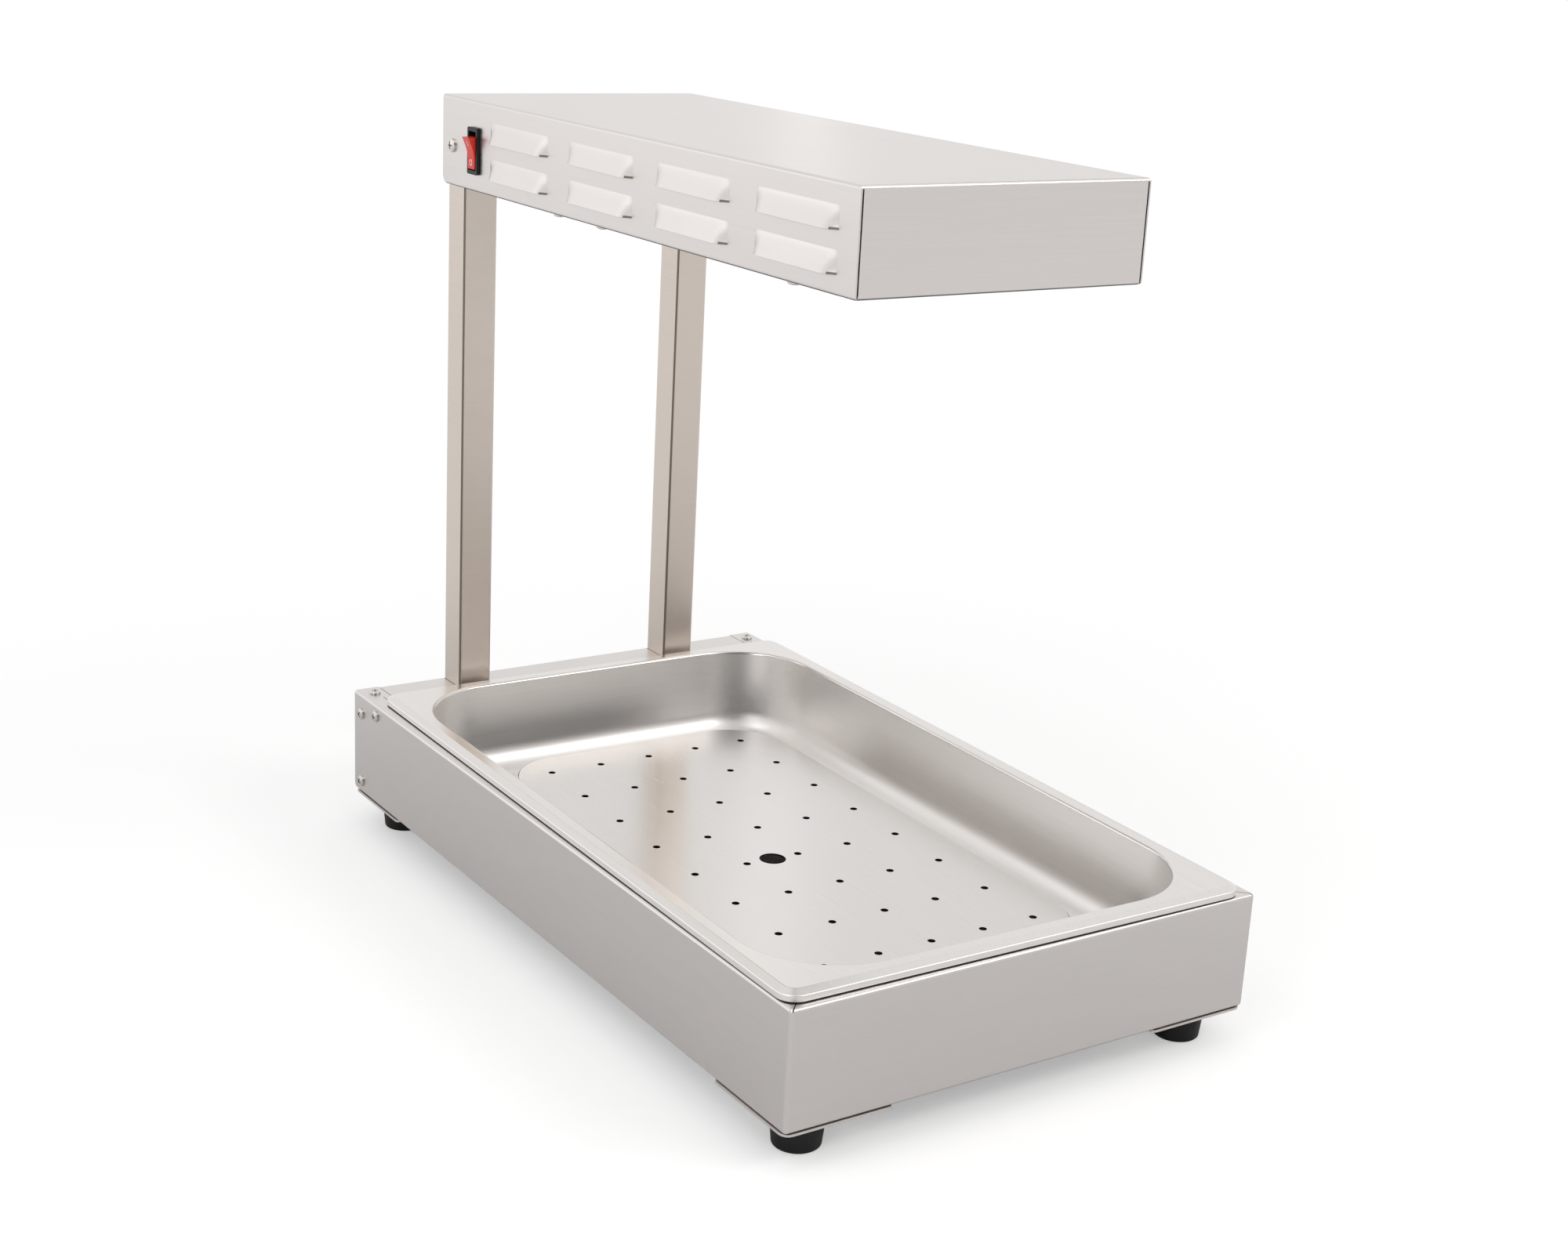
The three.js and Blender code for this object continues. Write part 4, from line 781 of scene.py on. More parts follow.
def placed_copies_tree():
    """Copies of one object on points, each turned as its point says and spun about its own Z."""
    name = "placed_copies"
    if name in bpy.data.node_groups:
        return bpy.data.node_groups[name]
    tree, given = geometry_group(name, {"Original": "Object", "Spin": "Float", "Seed": "Int"})
    original = add_node(tree, "GeometryNodeObjectInfo", {"Object": given["Original"]})
    turn = add_node(tree, "GeometryNodeInputNamedAttribute", {"Name": "turn"},
                    data_type="FLOAT_VECTOR").outputs["Attribute"]
    rotation = add_node(tree, "FunctionNodeEulerToRotation", {0: turn}).outputs[0]
    chance = add_node(tree, "FunctionNodeRandomValue", {"Seed": given["Seed"]}, data_type="FLOAT")
    spin = math_node(tree, "MULTIPLY", chance.outputs[1], given["Spin"])
    own = add_node(tree, "FunctionNodeAxisAngleToRotation", {"Axis": (0, 0, 1), "Angle": spin})
    turned_copy = add_node(tree, "FunctionNodeRotateRotation", {0: rotation, 1: own.outputs[0]},
                           rotation_space="LOCAL").outputs[0]
    copies = add_node(tree, "GeometryNodeInstanceOnPoints", {
        "Points": given["Geometry"], "Instance": original.outputs["Geometry"],
        "Rotation": turned_copy,
    }).outputs["Instances"]
    give_back(tree, copies, given["Finish"])
    return tree


def placed_copies(name, original, places, finish, spin=0.0, seed=7):
    """Copies of an object at (point, Euler turn) places, as one plain mesh."""
    mesh = bpy.data.meshes.new(name)
    mesh.from_pydata([point for point, _ in places], [], [])
    turns = mesh.attributes.new("turn", "FLOAT_VECTOR", "POINT")
    for item, (_, euler) in zip(turns.data, places):
        item.vector = euler
    piece = new_object(name, mesh)
    run_group(piece, placed_copies_tree(), {
        "Original": original, "Spin": spin, "Seed": seed, "Finish": finish_of(finish),
    })
    return piece


def lifted(tree, geometry, height):
    """A geometry moved up by a height, which may be a socket."""
    rise = add_node(tree, "ShaderNodeCombineXYZ", {"Z": height}).outputs[0]
    return add_node(tree, "GeometryNodeTransform", {
        "Geometry": geometry, "Translation": rise,
    }).outputs[0]


PUNCH_LENGTH = 10 * MM
COLLAR_WIDTH = 0.4 * MM


def perforation_tree():
    """Punches a grid of round holes with burrs and one lifting hole through a plate."""
    tree, given = geometry_group("perforations", {
        "Columns": "Int", "Rows": "Int", "Pitch X": "Float", "Pitch Y": "Float",
        "Hole Radius": "Float", "Flare": "Float", "Finger Radius": "Float",
        "Finger Place": "Vector", "Sheet": "Float", "Burr": "Float",
    })

    def times(label, factor):
        return math_node(tree, "MULTIPLY", given[label], factor)

    def span(number, pitch):
        gaps = math_node(tree, "SUBTRACT", given[number], 1.0)
        return math_node(tree, "MULTIPLY", gaps, given[pitch])

    def punch(radius, sides):
        """A straight punch through the plate, and the cone that rounds its upper edge."""
        straight = add_node(tree, "GeometryNodeMeshCylinder", {
            "Vertices": sides, "Radius": radius, "Depth": PUNCH_LENGTH,
        }).outputs["Mesh"]
        cone = add_node(tree, "GeometryNodeMeshCone", {
            "Vertices": sides, "Radius Top": math_node(tree, "ADD", radius, times("Flare", 2.0)),
            "Radius Bottom": radius, "Depth": times("Flare", 2.0),
        }).outputs["Mesh"]
        return straight, lifted(tree, cone, times("Flare", -1.0))

    grid = add_node(tree, "GeometryNodeMeshGrid", {
        "Size X": span("Columns", "Pitch X"), "Size Y": span("Rows", "Pitch Y"),
        "Vertices X": given["Columns"], "Vertices Y": given["Rows"],
    }).outputs["Mesh"]

    def at_holes(tool):
        copies = add_node(tree, "GeometryNodeInstanceOnPoints", {"Points": grid, "Instance": tool})
        return add_node(tree, "GeometryNodeRealizeInstances", {0: copies.outputs[0]}).outputs[0]

    collar = add_node(tree, "GeometryNodeMeshCylinder", {
        "Vertices": 24, "Radius": math_node(tree, "ADD", given["Hole Radius"], COLLAR_WIDTH),
        "Depth": times("Burr", 2.0),
    }).outputs["Mesh"]
    burrs = at_holes(lifted(tree, collar, times("Sheet", -1.0)))
    burred = add_node(tree, "GeometryNodeMeshBoolean", {"Mesh 2": given["Geometry"]},
                      operation="UNION", solver="EXACT")
    tree.links.new(burrs, burred.inputs["Mesh 2"])
    cutters = [at_holes(tool) for tool in punch(given["Hole Radius"], 24)]
    for tool in punch(given["Finger Radius"], 48):
        cutters.append(add_node(tree, "GeometryNodeTransform", {
            "Geometry": tool, "Translation": given["Finger Place"],
        }).outputs[0])
    boolean = add_node(tree, "GeometryNodeMeshBoolean", {"Mesh 1": burred.outputs["Mesh"]},
                       operation="DIFFERENCE", solver="EXACT")
    for tool in cutters:
        tree.links.new(tool, boolean.inputs["Mesh 2"])
    give_back(tree, boolean.outputs["Mesh"], given["Finish"])
    return tree


# Pieces

def turned_place(node):
    """The middle of the loose pan or of its plate, at its top, with their slight turn."""
    middle, top = middle_of(node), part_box(node)[1].z
    turn = Matrix.Rotation(settings().pan.turn, 4, "Z")
    return Matrix.Translation((middle.x, middle.y, top)) @ turn


class STATION_OT_food_pan(Operator):
    """Draws the steam-table pan with its rolled rim"""
    bl_idname = "station.food_pan"
    bl_label = "Food Pan"

    def execute(self, context):
        size = settings().pan
        half_width, half_length = size.width / 2, size.length / 2
        floor = size.sheet - size.depth
        hem, hem_run, hem_fall = 6.0 * MM, 1.2 * MM, 0.4 * MM
        section = rounded_line([
            (hem_run, -hem - hem_fall, 0.0),
            (0.0, -hem, 0.3 * MM),
            (0.0, -size.lip, 0.8 * MM),
            (size.slope, 0.0, 0.9 * MM),
            (size.opening, 0.0, size.brow),
            (size.opening + size.taper, floor, size.fillet),
            (size.opening + size.taper + size.fillet * 2, floor, 0.0),
        ], steps=10)
        loops = []
        for inset, height in section:
            near_rim = inset < (size.slope + size.opening) / 2
            outer = size.rim_corner if near_rim else size.opening_corner + size.opening
            corner = outer - inset
            loops.append(rounded_loop(half_width - inset, half_length - inset, corner, height))
        piece = smooth(thicken(object_from("steam_pan", skinned(loops)), size.sheet), 50.0)
        give(piece, "rim", "stainless_pan", PAN, "food_pan")
        add_finishes(piece, "pan", "under")
        downwards = -0.3
        for face in piece.data.polygons:
            # Faces that look down: painted shade under the pan and its rim, in the dark underside
            # steel
            if face.normal.z < downwards:
                face.material_index = 2
            # Walls and floor below the brow: the paler pan steel, painted light that lifts the well
            elif face.center.z < -size.brow:
                face.material_index = 1
        piece.data.transform(turned_place("food_pan"))
        return {"FINISHED"}


class STATION_OT_drain_plate(Operator):
    """Punches the false bottom that lets oil run under the fries"""
    bl_idname = "station.drain_plate"
    bl_label = "Drain Plate"

    def execute(self, context):
        size = settings().plate
        half_width, half_length = size.width / 2, size.length / 2
        edge, border = 0.8 * MM, 6.0 * MM
        section = rounded_line([
            (0.0, -size.sheet, 0.0), (0.0, 0.0, edge), (border, 0.0, 0.0),
        ], steps=5)
        loops = [rounded_loop(half_width - inset, half_length - inset, size.corner - inset, height)
                 for inset, height in section]
        piece = object_from("drain_plate_sheet", skinned(loops, close_first=True))
        run_group(piece, perforation_tree(), {
            "Columns": size.columns, "Rows": size.rows, "Pitch X": size.pitch_x,
            "Pitch Y": size.pitch_y, "Hole Radius": size.hole, "Flare": size.flare,
            "Finger Radius": size.finger_hole, "Finger Place": (size.finger_x, size.finger_y, 0.0),
            "Sheet": size.sheet, "Burr": size.burr, "Finish": finish_of("plate"),
        })
        low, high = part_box("drain_plate")
        skirt_depth = high.z - low.z
        reach = half_length - size.skirt_inset
        skirts = []
        for side in (-1, 1):
            inner, outer = sorted((side * half_width, side * (half_width - size.sheet)))
            skirts.append(block((inner, -reach, -skirt_depth), (outer, reach, -edge)))
        smooth(add_to(piece, object_from("skirts", joined(skirts))), 35.0)
        piece.data.transform(turned_place("drain_plate"))
        give(piece, "plate", "stainless_pan", PLATE, "drain_plate")
        self.paint_shade_in_holes(piece, half_width, half_length)
        return {"FINISHED"}

    def paint_shade_in_holes(self, piece, half_width, half_length):
        """Paints shade in near-black steel on the walls of the holes, and in dark steel on the
        underside.
        """
        add_finishes(piece, "punched", "under")
        middle = middle_of("drain_plate")
        back = Matrix.Rotation(-settings().pan.turn, 3, "Z")
        border, level = 4 * MM, 0.9
        for face in piece.data.polygons:
            place = back @ (face.center - middle)
            inside = abs(place.x) < half_width - border and abs(place.y) < half_length - border
            if face.normal.z < -level:
                face.material_index = 2
            elif inside and face.normal.z < level:
                face.material_index = 1


def folded_box(low, high, fold):
    """An open-ended folded box: upper and lower edges rounded, front corners left sharp."""
    shape = block(low, high)
    rear = [face for face in shape.faces if face.normal.y > 0.5]
    bmesh.ops.delete(shape, geom=rear, context="FACES_ONLY")
    level = [edge for edge in shape.edges
             if abs(edge.verts[0].co.z - edge.verts[1].co.z) < 1e-6 and len(edge.link_faces) == 2]
    bmesh.ops.bevel(shape, geom=level, offset=fold, segments=6, profile=0.5, affect="EDGES",
                    miter_outer="SHARP", clamp_overlap=False)
    return shape


def louvre_shape(size):
    """One pressed louvre, drawn along X, up Y and out Z, with its lanced edge on the X axis."""
    across, up = 32, 10
    crease = 0.1
    shape = bmesh.new()
    rows = []
    for i in range(across + 1):
        along = size.louvre_length * (0.5 - 0.5 * math.cos(math.pi * i / across))
        inside = min(along, size.louvre_length - along) / size.louvre_end
        end = math.sin(min(inside, 1.0) * math.pi / 2)
        row = []
        for j in range(up + 1):
            fall = 1 - j / up
            rise = fall ** 2 / (fall + crease) * (1 + crease)
            row.append(shape.verts.new((along, size.louvre_height * j / up,
                                        size.louvre_depth * end * rise)))
        rows.append(row)
    for left, right in zip(rows, rows[1:]):
        for j in range(up):
            shape.faces.new((left[j], right[j], right[j + 1], left[j + 1]))
    return shape


def louvre_spots(size, low, high):
    """The rear end and the lanced edge of each louvre on one side of the hood."""
    for column in range(size.columns):
        back = high.y - size.louvre_first - column * size.louvre_pitch
        for line in (size.louvre_low, size.louvre_high):
            yield back, low.z + line


class STATION_OT_hood(Operator):
    """Folds the hood and presses its louvres"""
    bl_idname = "station.hood"
    bl_label = "Hood"

    def execute(self, context):
        size = settings().hood
        low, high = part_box("head_hood")
        half = (high.x - low.x) / 2 - size.louvre_depth
        piece = self.folded_sheet(size, low, high, half)
        round_edges(piece, 0.18 * MM, angle=50.0)
        places = []
        for side in (-1, 1):
            turn = Matrix(((0, 0, side), (side, 0, 0), (0, 1, 0))).to_euler()
            for back, edge in louvre_spots(size, low, high):
                start = back if side < 0 else back - size.louvre_length
                places.append(((side * half, start, edge), turn))
        original = thicken(object_from("louvre", louvre_shape(size)), size.sheet * 0.9, even=False)
        louvres = placed_copies("louvres", original, places, "sheet")
        discard(original)
        smooth(add_to(piece, louvres), 44.0)
        give(piece, "sheet", "stainless_brushed", STATION, "head_hood")
        self.shade_cut_edges(piece, half, low, high)
        return {"FINISHED"}

    def folded_sheet(self, size, low, high, half):
        """The folded sheet with its flanges, open seams, slots and switch window."""
        past, far, spare = 4 * MM, 20 * MM, 0.4 * MM
        piece = thicken(object_from("hood_sheet", folded_box(
            (-half, low.y, low.z), (half, high.y + past, high.z), size.fold)), size.sheet)
        flange_back = high.y - size.flange_end
        bottom = (low.z - past, low.z + size.sheet + spare)
        cut(piece, [
            block((size.flange - half, low.y + size.flange, bottom[0]),
                  (half - size.flange, high.y + far, bottom[1])),
            block((size.sheet - half, flange_back, bottom[0]),
                  (half - size.sheet, high.y + far, low.z + size.fold + past)),
            block((-half - far, high.y, low.z - far), (half + far, high.y + far, high.z + far)),
        ])
        slots, wall_seams, flange_seams = [], [], []
        inset = 1.2 * MM
        for side in (-1, 1):
            wall = sorted((side * (half + past), side * (half - size.sheet - past)))
            for back, edge in louvre_spots(size, low, high):
                slots.append(block((wall[0], back - size.louvre_length + inset, edge),
                                   (wall[1], back - inset, edge + size.louvre_height - inset)))
            seam = sorted((side * (half - size.sheet), side * (half - size.sheet - size.seam)))
            wall_seams.append(block(
                (seam[0], low.y - past, low.z - past),
                (seam[1], low.y + size.sheet + spare * 2, high.z - size.fold)))
            flange_seams.append(block((seam[0], low.y - past, low.z - past * 2),
                                      (seam[1], low.y + size.flange + past, bottom[1])))
        body_low, body_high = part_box("switch_body")
        bezel_y, bezel_z = 1.1 * MM, 1.8 * MM
        window = block((-half - past, body_low.y + bezel_y, body_low.z + bezel_z),
                       (past - half, body_high.y - bezel_y, body_high.z - bezel_z))
        return cut(piece, [joined(slots), joined(wall_seams), joined(flange_seams), window,
                           heel_cutter(high.y, low.z, half + far, size.heel)])

    def shade_cut_edges(self, piece, half, low, high):
        """Paints shade in dull dark steel: a shadow line on the undersides of the lower folds, and
        dark ticks at the ends of the louvres' lanced edges.
        """
        size = settings().hood
        add_finishes(piece, "under", "weld_and_shade")
        shaded_end, edge, skin = 5 * MM, 0.7 * MM, 0.02 * MM
        steepest, flattest = -0.99, -0.55
        for face in piece.data.polygons:
            place = face.center
            # Painted shadow line along the hood's lower edge, on the undersides of its folds
            if place.z < low.z + size.fold and steepest < face.normal.z < flattest:
                face.material_index = 1
            if abs(place.x) < half + skin:
                continue
            along = (high.y - size.louvre_first - place.y) % size.louvre_pitch
            over = min(abs(place.z - low.z - line) for line in (size.louvre_low, size.louvre_high))
            # Painted shade: dark ticks where the louvre openings end
            if over < edge and not shaded_end < along < size.louvre_length - shaded_end:
                face.material_index = 2


def heel_cutter(back, bottom, reach, radius):
    """What a rounded lower rear corner leaves out of both sides of the hood."""
    past = 6 * MM
    steps = 12
    outline = [(back + past, bottom - past), (back + past, bottom + radius)]
    for step in range(steps + 1):
        angle = -math.pi / 2 * step / steps
        outline.append((back - radius + radius * math.cos(angle),
                        bottom + radius + radius * math.sin(angle)))
    outline.append((back - radius, bottom - past))
    loops = [[Vector((x, y, z)) for y, z in outline] for x in (-reach, reach)]
    shape = skinned(loops, close_first=True)
    bmesh.ops.recalc_face_normals(shape, faces=shape.faces)
    return shape


CORNERS = ("front_left", "front_right", "rear_left", "rear_right")


class STATION_OT_sheet_metal(Operator):
    """Finishes the folded sheets of the base and the inner sheets of the hood"""
    bl_idname = "station.sheet_metal"
    bl_label = "Sheet Metal"

    def execute(self, context):
        sheets = [("base_shell", "base_folded_sheet", 0.22),
                  ("rear_panel", "base_rear_channel", 0.2),
                  ("head_rear_panel", "hood_rear_channel", 0.2),
                  ("bottom_cover", "hood_bottom_cover", 0.2)]
        sheets += [("foot_plate_" + corner, "corner_plate_" + corner, 0.25) for corner in CORNERS]
        give_copies((node, name, "sheet", "stainless_brushed", width)
                    for node, name, width in sheets)
        return {"FINISHED"}


class STATION_OT_posts(Operator):
    """Finishes the two polished posts"""
    bl_idname = "station.posts"
    bl_label = "Posts"

    def execute(self, context):
        for side in ("left", "right"):
            node = "post_" + side
            piece = copy_of(node, "square_" + node, 0.2 * MM)
            give(piece, "tube", "stainless_tube", STATION, node)
            add_finishes(piece, "weld_and_shade")
            low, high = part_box(node)
            reach, sliver = 1 * MM, 0.05 * MM
            for face in piece.data.polygons:
                near = face.center.x < low.x + reach and face.center.y < low.y + reach
                tall = face.area > (high.z - low.z) * sliver
                if near and tall and abs(face.normal.x + face.normal.y) > 1.0:
                    face.material_index = 1
        return {"FINISHED"}


SCREW_SEAT = 2.4 * MM


def screw_original(size):
    """A pan-head screw that points down from the origin, with a cross recess in its head."""
    radius, height = size.radius, size.height
    crown = rounded_line([
        (radius - 0.25 * MM, 0.0, 0.0), (radius, 0.0, 0.0),
        (radius, height * 0.62, 0.9 * MM), (radius * 0.45, height * 0.97, 1.6 * MM),
        (0.0, height, 0.0),
    ], steps=5)
    section = [(0.0, -size.reach), (size.shank, -size.reach), (size.shank, 0.0)]
    section += crown
    section[-1] = (0.0, section[-1][1])
    piece = object_from("screw", turned(section, 32))
    recess, slot = size.recess, size.slot / 2
    depth = height * 0.35
    bars = [block((-recess, -slot, depth), (recess, slot, height * 2)),
            block((-slot, -recess, depth), (slot, recess, height * 2))]
    cut(piece, bars)
    return smooth(piece, 42.0)


def screw_place(node, seat):
    """Where a screw's head sits and how it is turned, from the box of its CAD node."""
    low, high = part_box(node)
    middle = (low + high) / 2
    if node.startswith(("side_", "head_")):
        side = 1 if middle.x > 0 else -1
        outer = high.x if side > 0 else low.x
        return Vector((outer - side * seat, middle.y, middle.z)), (0.0, side * math.pi / 2, 0.0)
    if node.startswith("deck_"):
        return Vector((middle.x, middle.y, high.z - seat)), (0.0, 0.0, 0.0)
    if node.startswith("post_"):
        return Vector((middle.x, high.y - seat, middle.z)), (-math.pi / 2, 0.0, 0.0)
    return Vector((middle.x, middle.y, low.z + seat)), (math.pi, 0.0, 0.0)


class STATION_OT_screws(Operator):
    """Places every pan-head screw"""
    bl_idname = "station.screws"
    bl_label = "Screws"

    def execute(self, context):
        size = settings().screw
        nodes = sorted(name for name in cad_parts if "_screw_" in name)
        groups = {
            "base_screws": [n for n in nodes if n.startswith(("side_", "deck_", "post_"))],
            "underside_screws": [n for n in nodes if n.startswith("underside_")],
            "hood_screws": [n for n in nodes if n.startswith("head_")],
        }
        original = screw_original(size)
        for seed, (name, members) in enumerate(groups.items()):
            scale = size.head_screw_scale if name == "hood_screws" else 1.0
            if scale != 1.0:
                original.data.transform(Matrix.Scale(scale, 4))
            places = [screw_place(node, SCREW_SEAT * scale) for node in members]
            piece = placed_copies(name, original, places, "screw", spin=math.pi, seed=seed + 3)
            give(piece, "screw", "screw_steel", STATION, *members)
        discard(original)
        return {"FINISHED"}


class STATION_OT_feet(Operator):
    """Turns the rubber feet and finishes their bolts"""
    bl_idname = "station.feet"
    bl_label = "Feet"

    def execute(self, context):
        size = settings().foot
        bore = 2.7 * MM
        outside = rounded_line([
            (size.recess, 0.0, 0.0),
            (size.bottom - 0.4 * MM, 0.0, 1.6 * MM),
            (size.bottom, 4.2 * MM, 1.2 * MM),
            (size.top, size.height - 3.4 * MM, 1.4 * MM),
            (size.top, size.height, 0.9 * MM),
            (bore, size.height, 0.0),
        ], steps=5)
        section = [(bore, size.recess_depth), (size.recess, size.recess_depth)]
        section += outside + [(bore, size.recess_depth)]
        original = smooth(object_from("foot", turned(section, 56)), 38.0)
        nodes = ["rubber_foot_" + corner for corner in CORNERS]
        places = []
        for node in nodes:
            middle = middle_of(node)
            places.append(((middle.x, middle.y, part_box(node)[0].z), (0.0, 0.0, 0.0)))
        piece = placed_copies("rubber_feet", original, places, "rubber")
        discard(original)
        give(piece, "rubber", "rubber_black", STATION, *nodes)
        bolts = ["foot_bolt_" + corner for corner in CORNERS]
        give_copies((node, "plated_" + node, "zinc", "zinc_steel", 0.2) for node in bolts)
        return {"FINISHED"}


PRINT = 0.06 * MM


def ring_print(half_width, half_height, stroke):
    """A flat figure 0 of thin print, as a closed ring."""
    steps = 40
    loops = []
    for inset, level in ((0.0, 0.0), (0.0, PRINT), (stroke, PRINT), (stroke, 0.0)):
        loops.append([Vector(((half_width - inset) * math.cos(2 * math.pi * i / steps),
                              (half_height - inset) * math.sin(2 * math.pi * i / steps), level))
                      for i in range(steps)])
    loops.append(loops[0])
    shape = skinned(loops, close_last=False)
    bmesh.ops.remove_doubles(shape, verts=shape.verts, dist=SAME_POINT)
    bmesh.ops.recalc_face_normals(shape, faces=shape.faces)
    return shape


class STATION_OT_switch(Operator):
    """Moulds the rocker switch with its on and off marks"""
    bl_idname = "station.switch"
    bl_label = "Switch"

    def execute(self, context):
        size = settings().switch
        give_copies([
            ("switch_body", "switch_housing", "plastic", "plastic_black", 0.3),
            ("switch_blade_upper", "contact_upper", "blade", "contact_brass", 0.1),
            ("switch_blade_lower", "contact_lower", "blade", "contact_brass", 0.1),
        ])
        middle, front = middle_of("switch_body"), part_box("switch_body")[0].x
        place = Matrix.Translation((front + size.pivot_depth, middle.y, middle.z))
        place = place @ Matrix.Rotation(-size.tilt, 4, "Y")
        piece = self.rocker_cap(size)
        piece.data.transform(place)
        give(piece, "rocker", "plastic_red", ROCKER, "switch_rocker")
        printed = object_from("rocker_marks", self.marks(size))
        printed.data.transform(place)
        give(printed, "print", "plastic_red", ROCKER)
        return {"FINISHED"}

    def rocker_cap(self, size):
        """The rocker with its hollow face towards -X and its pins along Y, round the pivot."""
        tip, half = size.valley + size.rise, size.width / 2
        hollow = 26 * MM
        face = rounded_line([(size.half, tip, 0.0), (0.0, size.valley, hollow),
                             (-size.half, tip, 0.0)], steps=10)
        outline = [(-size.skirt, 0.0), (size.skirt, 0.0)] + face
        loops = [[Vector((-out, across, up)) for up, out in outline] for across in (-half, half)]
        shape = skinned(loops, close_first=True)
        bmesh.ops.recalc_face_normals(shape, faces=shape.faces)
        piece = round_edges(object_from("rocker_cap", shape), 0.45 * MM, segments=3, angle=50.0)
        end = half + 0.3 * MM
        pin = turned([(0.0, -end), (size.pin, -end), (size.pin, end), (0.0, end)], 24)
        bmesh.ops.rotate(pin, verts=pin.verts, cent=(0, 0, 0),
                         matrix=Matrix.Rotation(math.pi / 2, 3, "X"))
        return smooth(add_to(piece, object_from("rocker_pins", pin)))

    def marks(self, size):
        """The printed figures on both halves of the rocker's face: on above, off below."""
        slope = math.atan2(size.rise, size.half)
        along, skin = 0.6, 0.01 * MM
        upright = Matrix(((0, 0, -1, 0), (-1, 0, 0, 0), (0, 1, 0, 0), (0, 0, 0, 1)))
        on = block((-0.28 * MM, -2.0 * MM, 0.0), (0.28 * MM, 2.0 * MM, PRINT))
        off = ring_print(1.8 * MM, 2.2 * MM, 0.6 * MM)
        for end, mark in ((-1, off), (1, on)):
            at = Matrix.Translation((-size.valley - size.rise * along - skin, 0.0,
                                     end * size.half * along))
            turn = Matrix.Rotation(-end * slope, 4, "Y")
            bmesh.ops.transform(mark, matrix=at @ turn @ upright, verts=mark.verts)
        return joined([off, on])


class STATION_OT_heater(Operator):
    """Finishes the heater under the hood: element, reflector, hangers, guard and gland"""
    bl_idname = "station.heater"
    bl_label = "Heater"

    def execute(self, context):
        give_copies([
            ("reflector", "heat_reflector", "mirror", "reflector_sheet", 0.0),
            ("heating_element", "element_tube", "sheath", "element_sheath", 0.0),
            ("element_hanger_front", "hanger_front", "zinc", "zinc_steel", 0.15),
            ("element_hanger_rear", "hanger_rear", "zinc", "zinc_steel", 0.15),
            ("element_terminal_left", "terminal_left", "ceramic", "ceramic_white", 0.2),
            ("element_terminal_right", "terminal_right", "ceramic", "ceramic_white", 0.2),
            ("terminal_block", "connector_block", "ceramic", "ceramic_white", 0.25),
            ("cord_gland", "rear_cord_gland", "plastic", "plastic_black", 0.3),
        ])
        self.guard()
        return {"FINISHED"}

    def guard(self):
        """Bars across the mouth and two rails on them."""
        size = settings().guard
        low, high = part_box("wire_guard")
        middle = (low + high) / 2
        half = (high.x - low.x) / 2
        last = (size.bars - 1) / 2
        bar = rod_along("bar", size.wire, half)
        rail = rod_along("rail", size.rail, last * size.pitch + size.rail_end)
        crosswise = (0.0, math.pi / 2, 0.0)
        lengthwise = (math.pi / 2, 0.0, 0.0)
        rows = [((middle.x, middle.y + (i - last) * size.pitch, low.z + size.wire), crosswise)
                for i in range(size.bars)]
        rails = [((side * size.rail_x, middle.y, high.z - size.rail), lengthwise)
                 for side in (-1, 1)]
        piece = placed_copies("guard_grille", bar, rows, "zinc")
        add_to(piece, placed_copies("guard_rails", rail, rails, "zinc"))
        for spare in (bar, rail):
            discard(spare)
        give(piece, "zinc", "zinc_steel", STATION, "wire_guard")


def rod_along(name, radius, half):
    """A round bar along Z with softened ends."""
    edge = radius * 0.3
    section = [(0.0, -half), (radius - edge, -half), (radius, edge - half),
               (radius, half - edge), (radius - edge, half), (0.0, half)]
    return smooth(object_from(name, turned(section, 20)), 50.0)


class STATION_OT_wiring(Operator):
    """Finishes the wires inside the hood"""
    bl_idname = "station.wiring"
    bl_label = "Wiring"

    def execute(self, context):
        give_copies((node, "sleeved_" + node, node, slot, 0.0) for node, (slot, _) in WIRES.items())
        return {"FINISHED"}


# Stage

CAMERA_PLACE = Vector((-0.80319, -1.19510, 0.65307))
CAMERA_AZIMUTH, CAMERA_ELEVATION, CAMERA_ROLL = -0.5969987, 0.2992235, 0.0535367


def add_camera():
    data = bpy.data.cameras.new("camera")
    data.lens = settings().stage.lens
    data.sensor_width = 36.0
    data.clip_end = 100.0
    camera = bpy.data.objects.new("camera", data)
    bpy.context.scene.collection.objects.link(camera)
    level = math.cos(CAMERA_ELEVATION)
    back = Vector((math.sin(CAMERA_AZIMUTH) * level, -math.cos(CAMERA_AZIMUTH) * level,
                   math.sin(CAMERA_ELEVATION)))
    right = (-back).cross(Vector((0, 0, 1))).normalized()
    up = right.cross(-back)
    turn_cos, turn_sin = math.cos(CAMERA_ROLL), math.sin(CAMERA_ROLL)
    axis_x = right * turn_cos + up * turn_sin
    axis_y = up * turn_cos - right * turn_sin
    matrix = Matrix((axis_x, axis_y, back)).transposed().to_4x4()
    matrix.translation = CAMERA_PLACE
    camera.matrix_world = matrix
    bpy.context.scene.camera = camera


LAMP_TARGET = Vector((0.0, 0.0, 0.2))
LAMPS = {
    "key": ((1.05, -1.55, 1.65), (1.3, 0.6), (1.0, 0.98, 0.96)),
    "fill": ((-1.9, -1.2, 0.85), (0.7, 1.2), (0.97, 0.98, 1.0)),
    "top": ((-1.1, -0.3, 1.7), (0.8, 0.8), (1.0, 1.0, 1.0)),
    "side": ((-1.5, 1.5, 0.75), (1.4, 1.0), (1.0, 1.0, 1.0)),
    "strip": ((0.88, 1.29, 0.88), (0.07, 0.4), (1.0, 1.0, 1.0)),
}


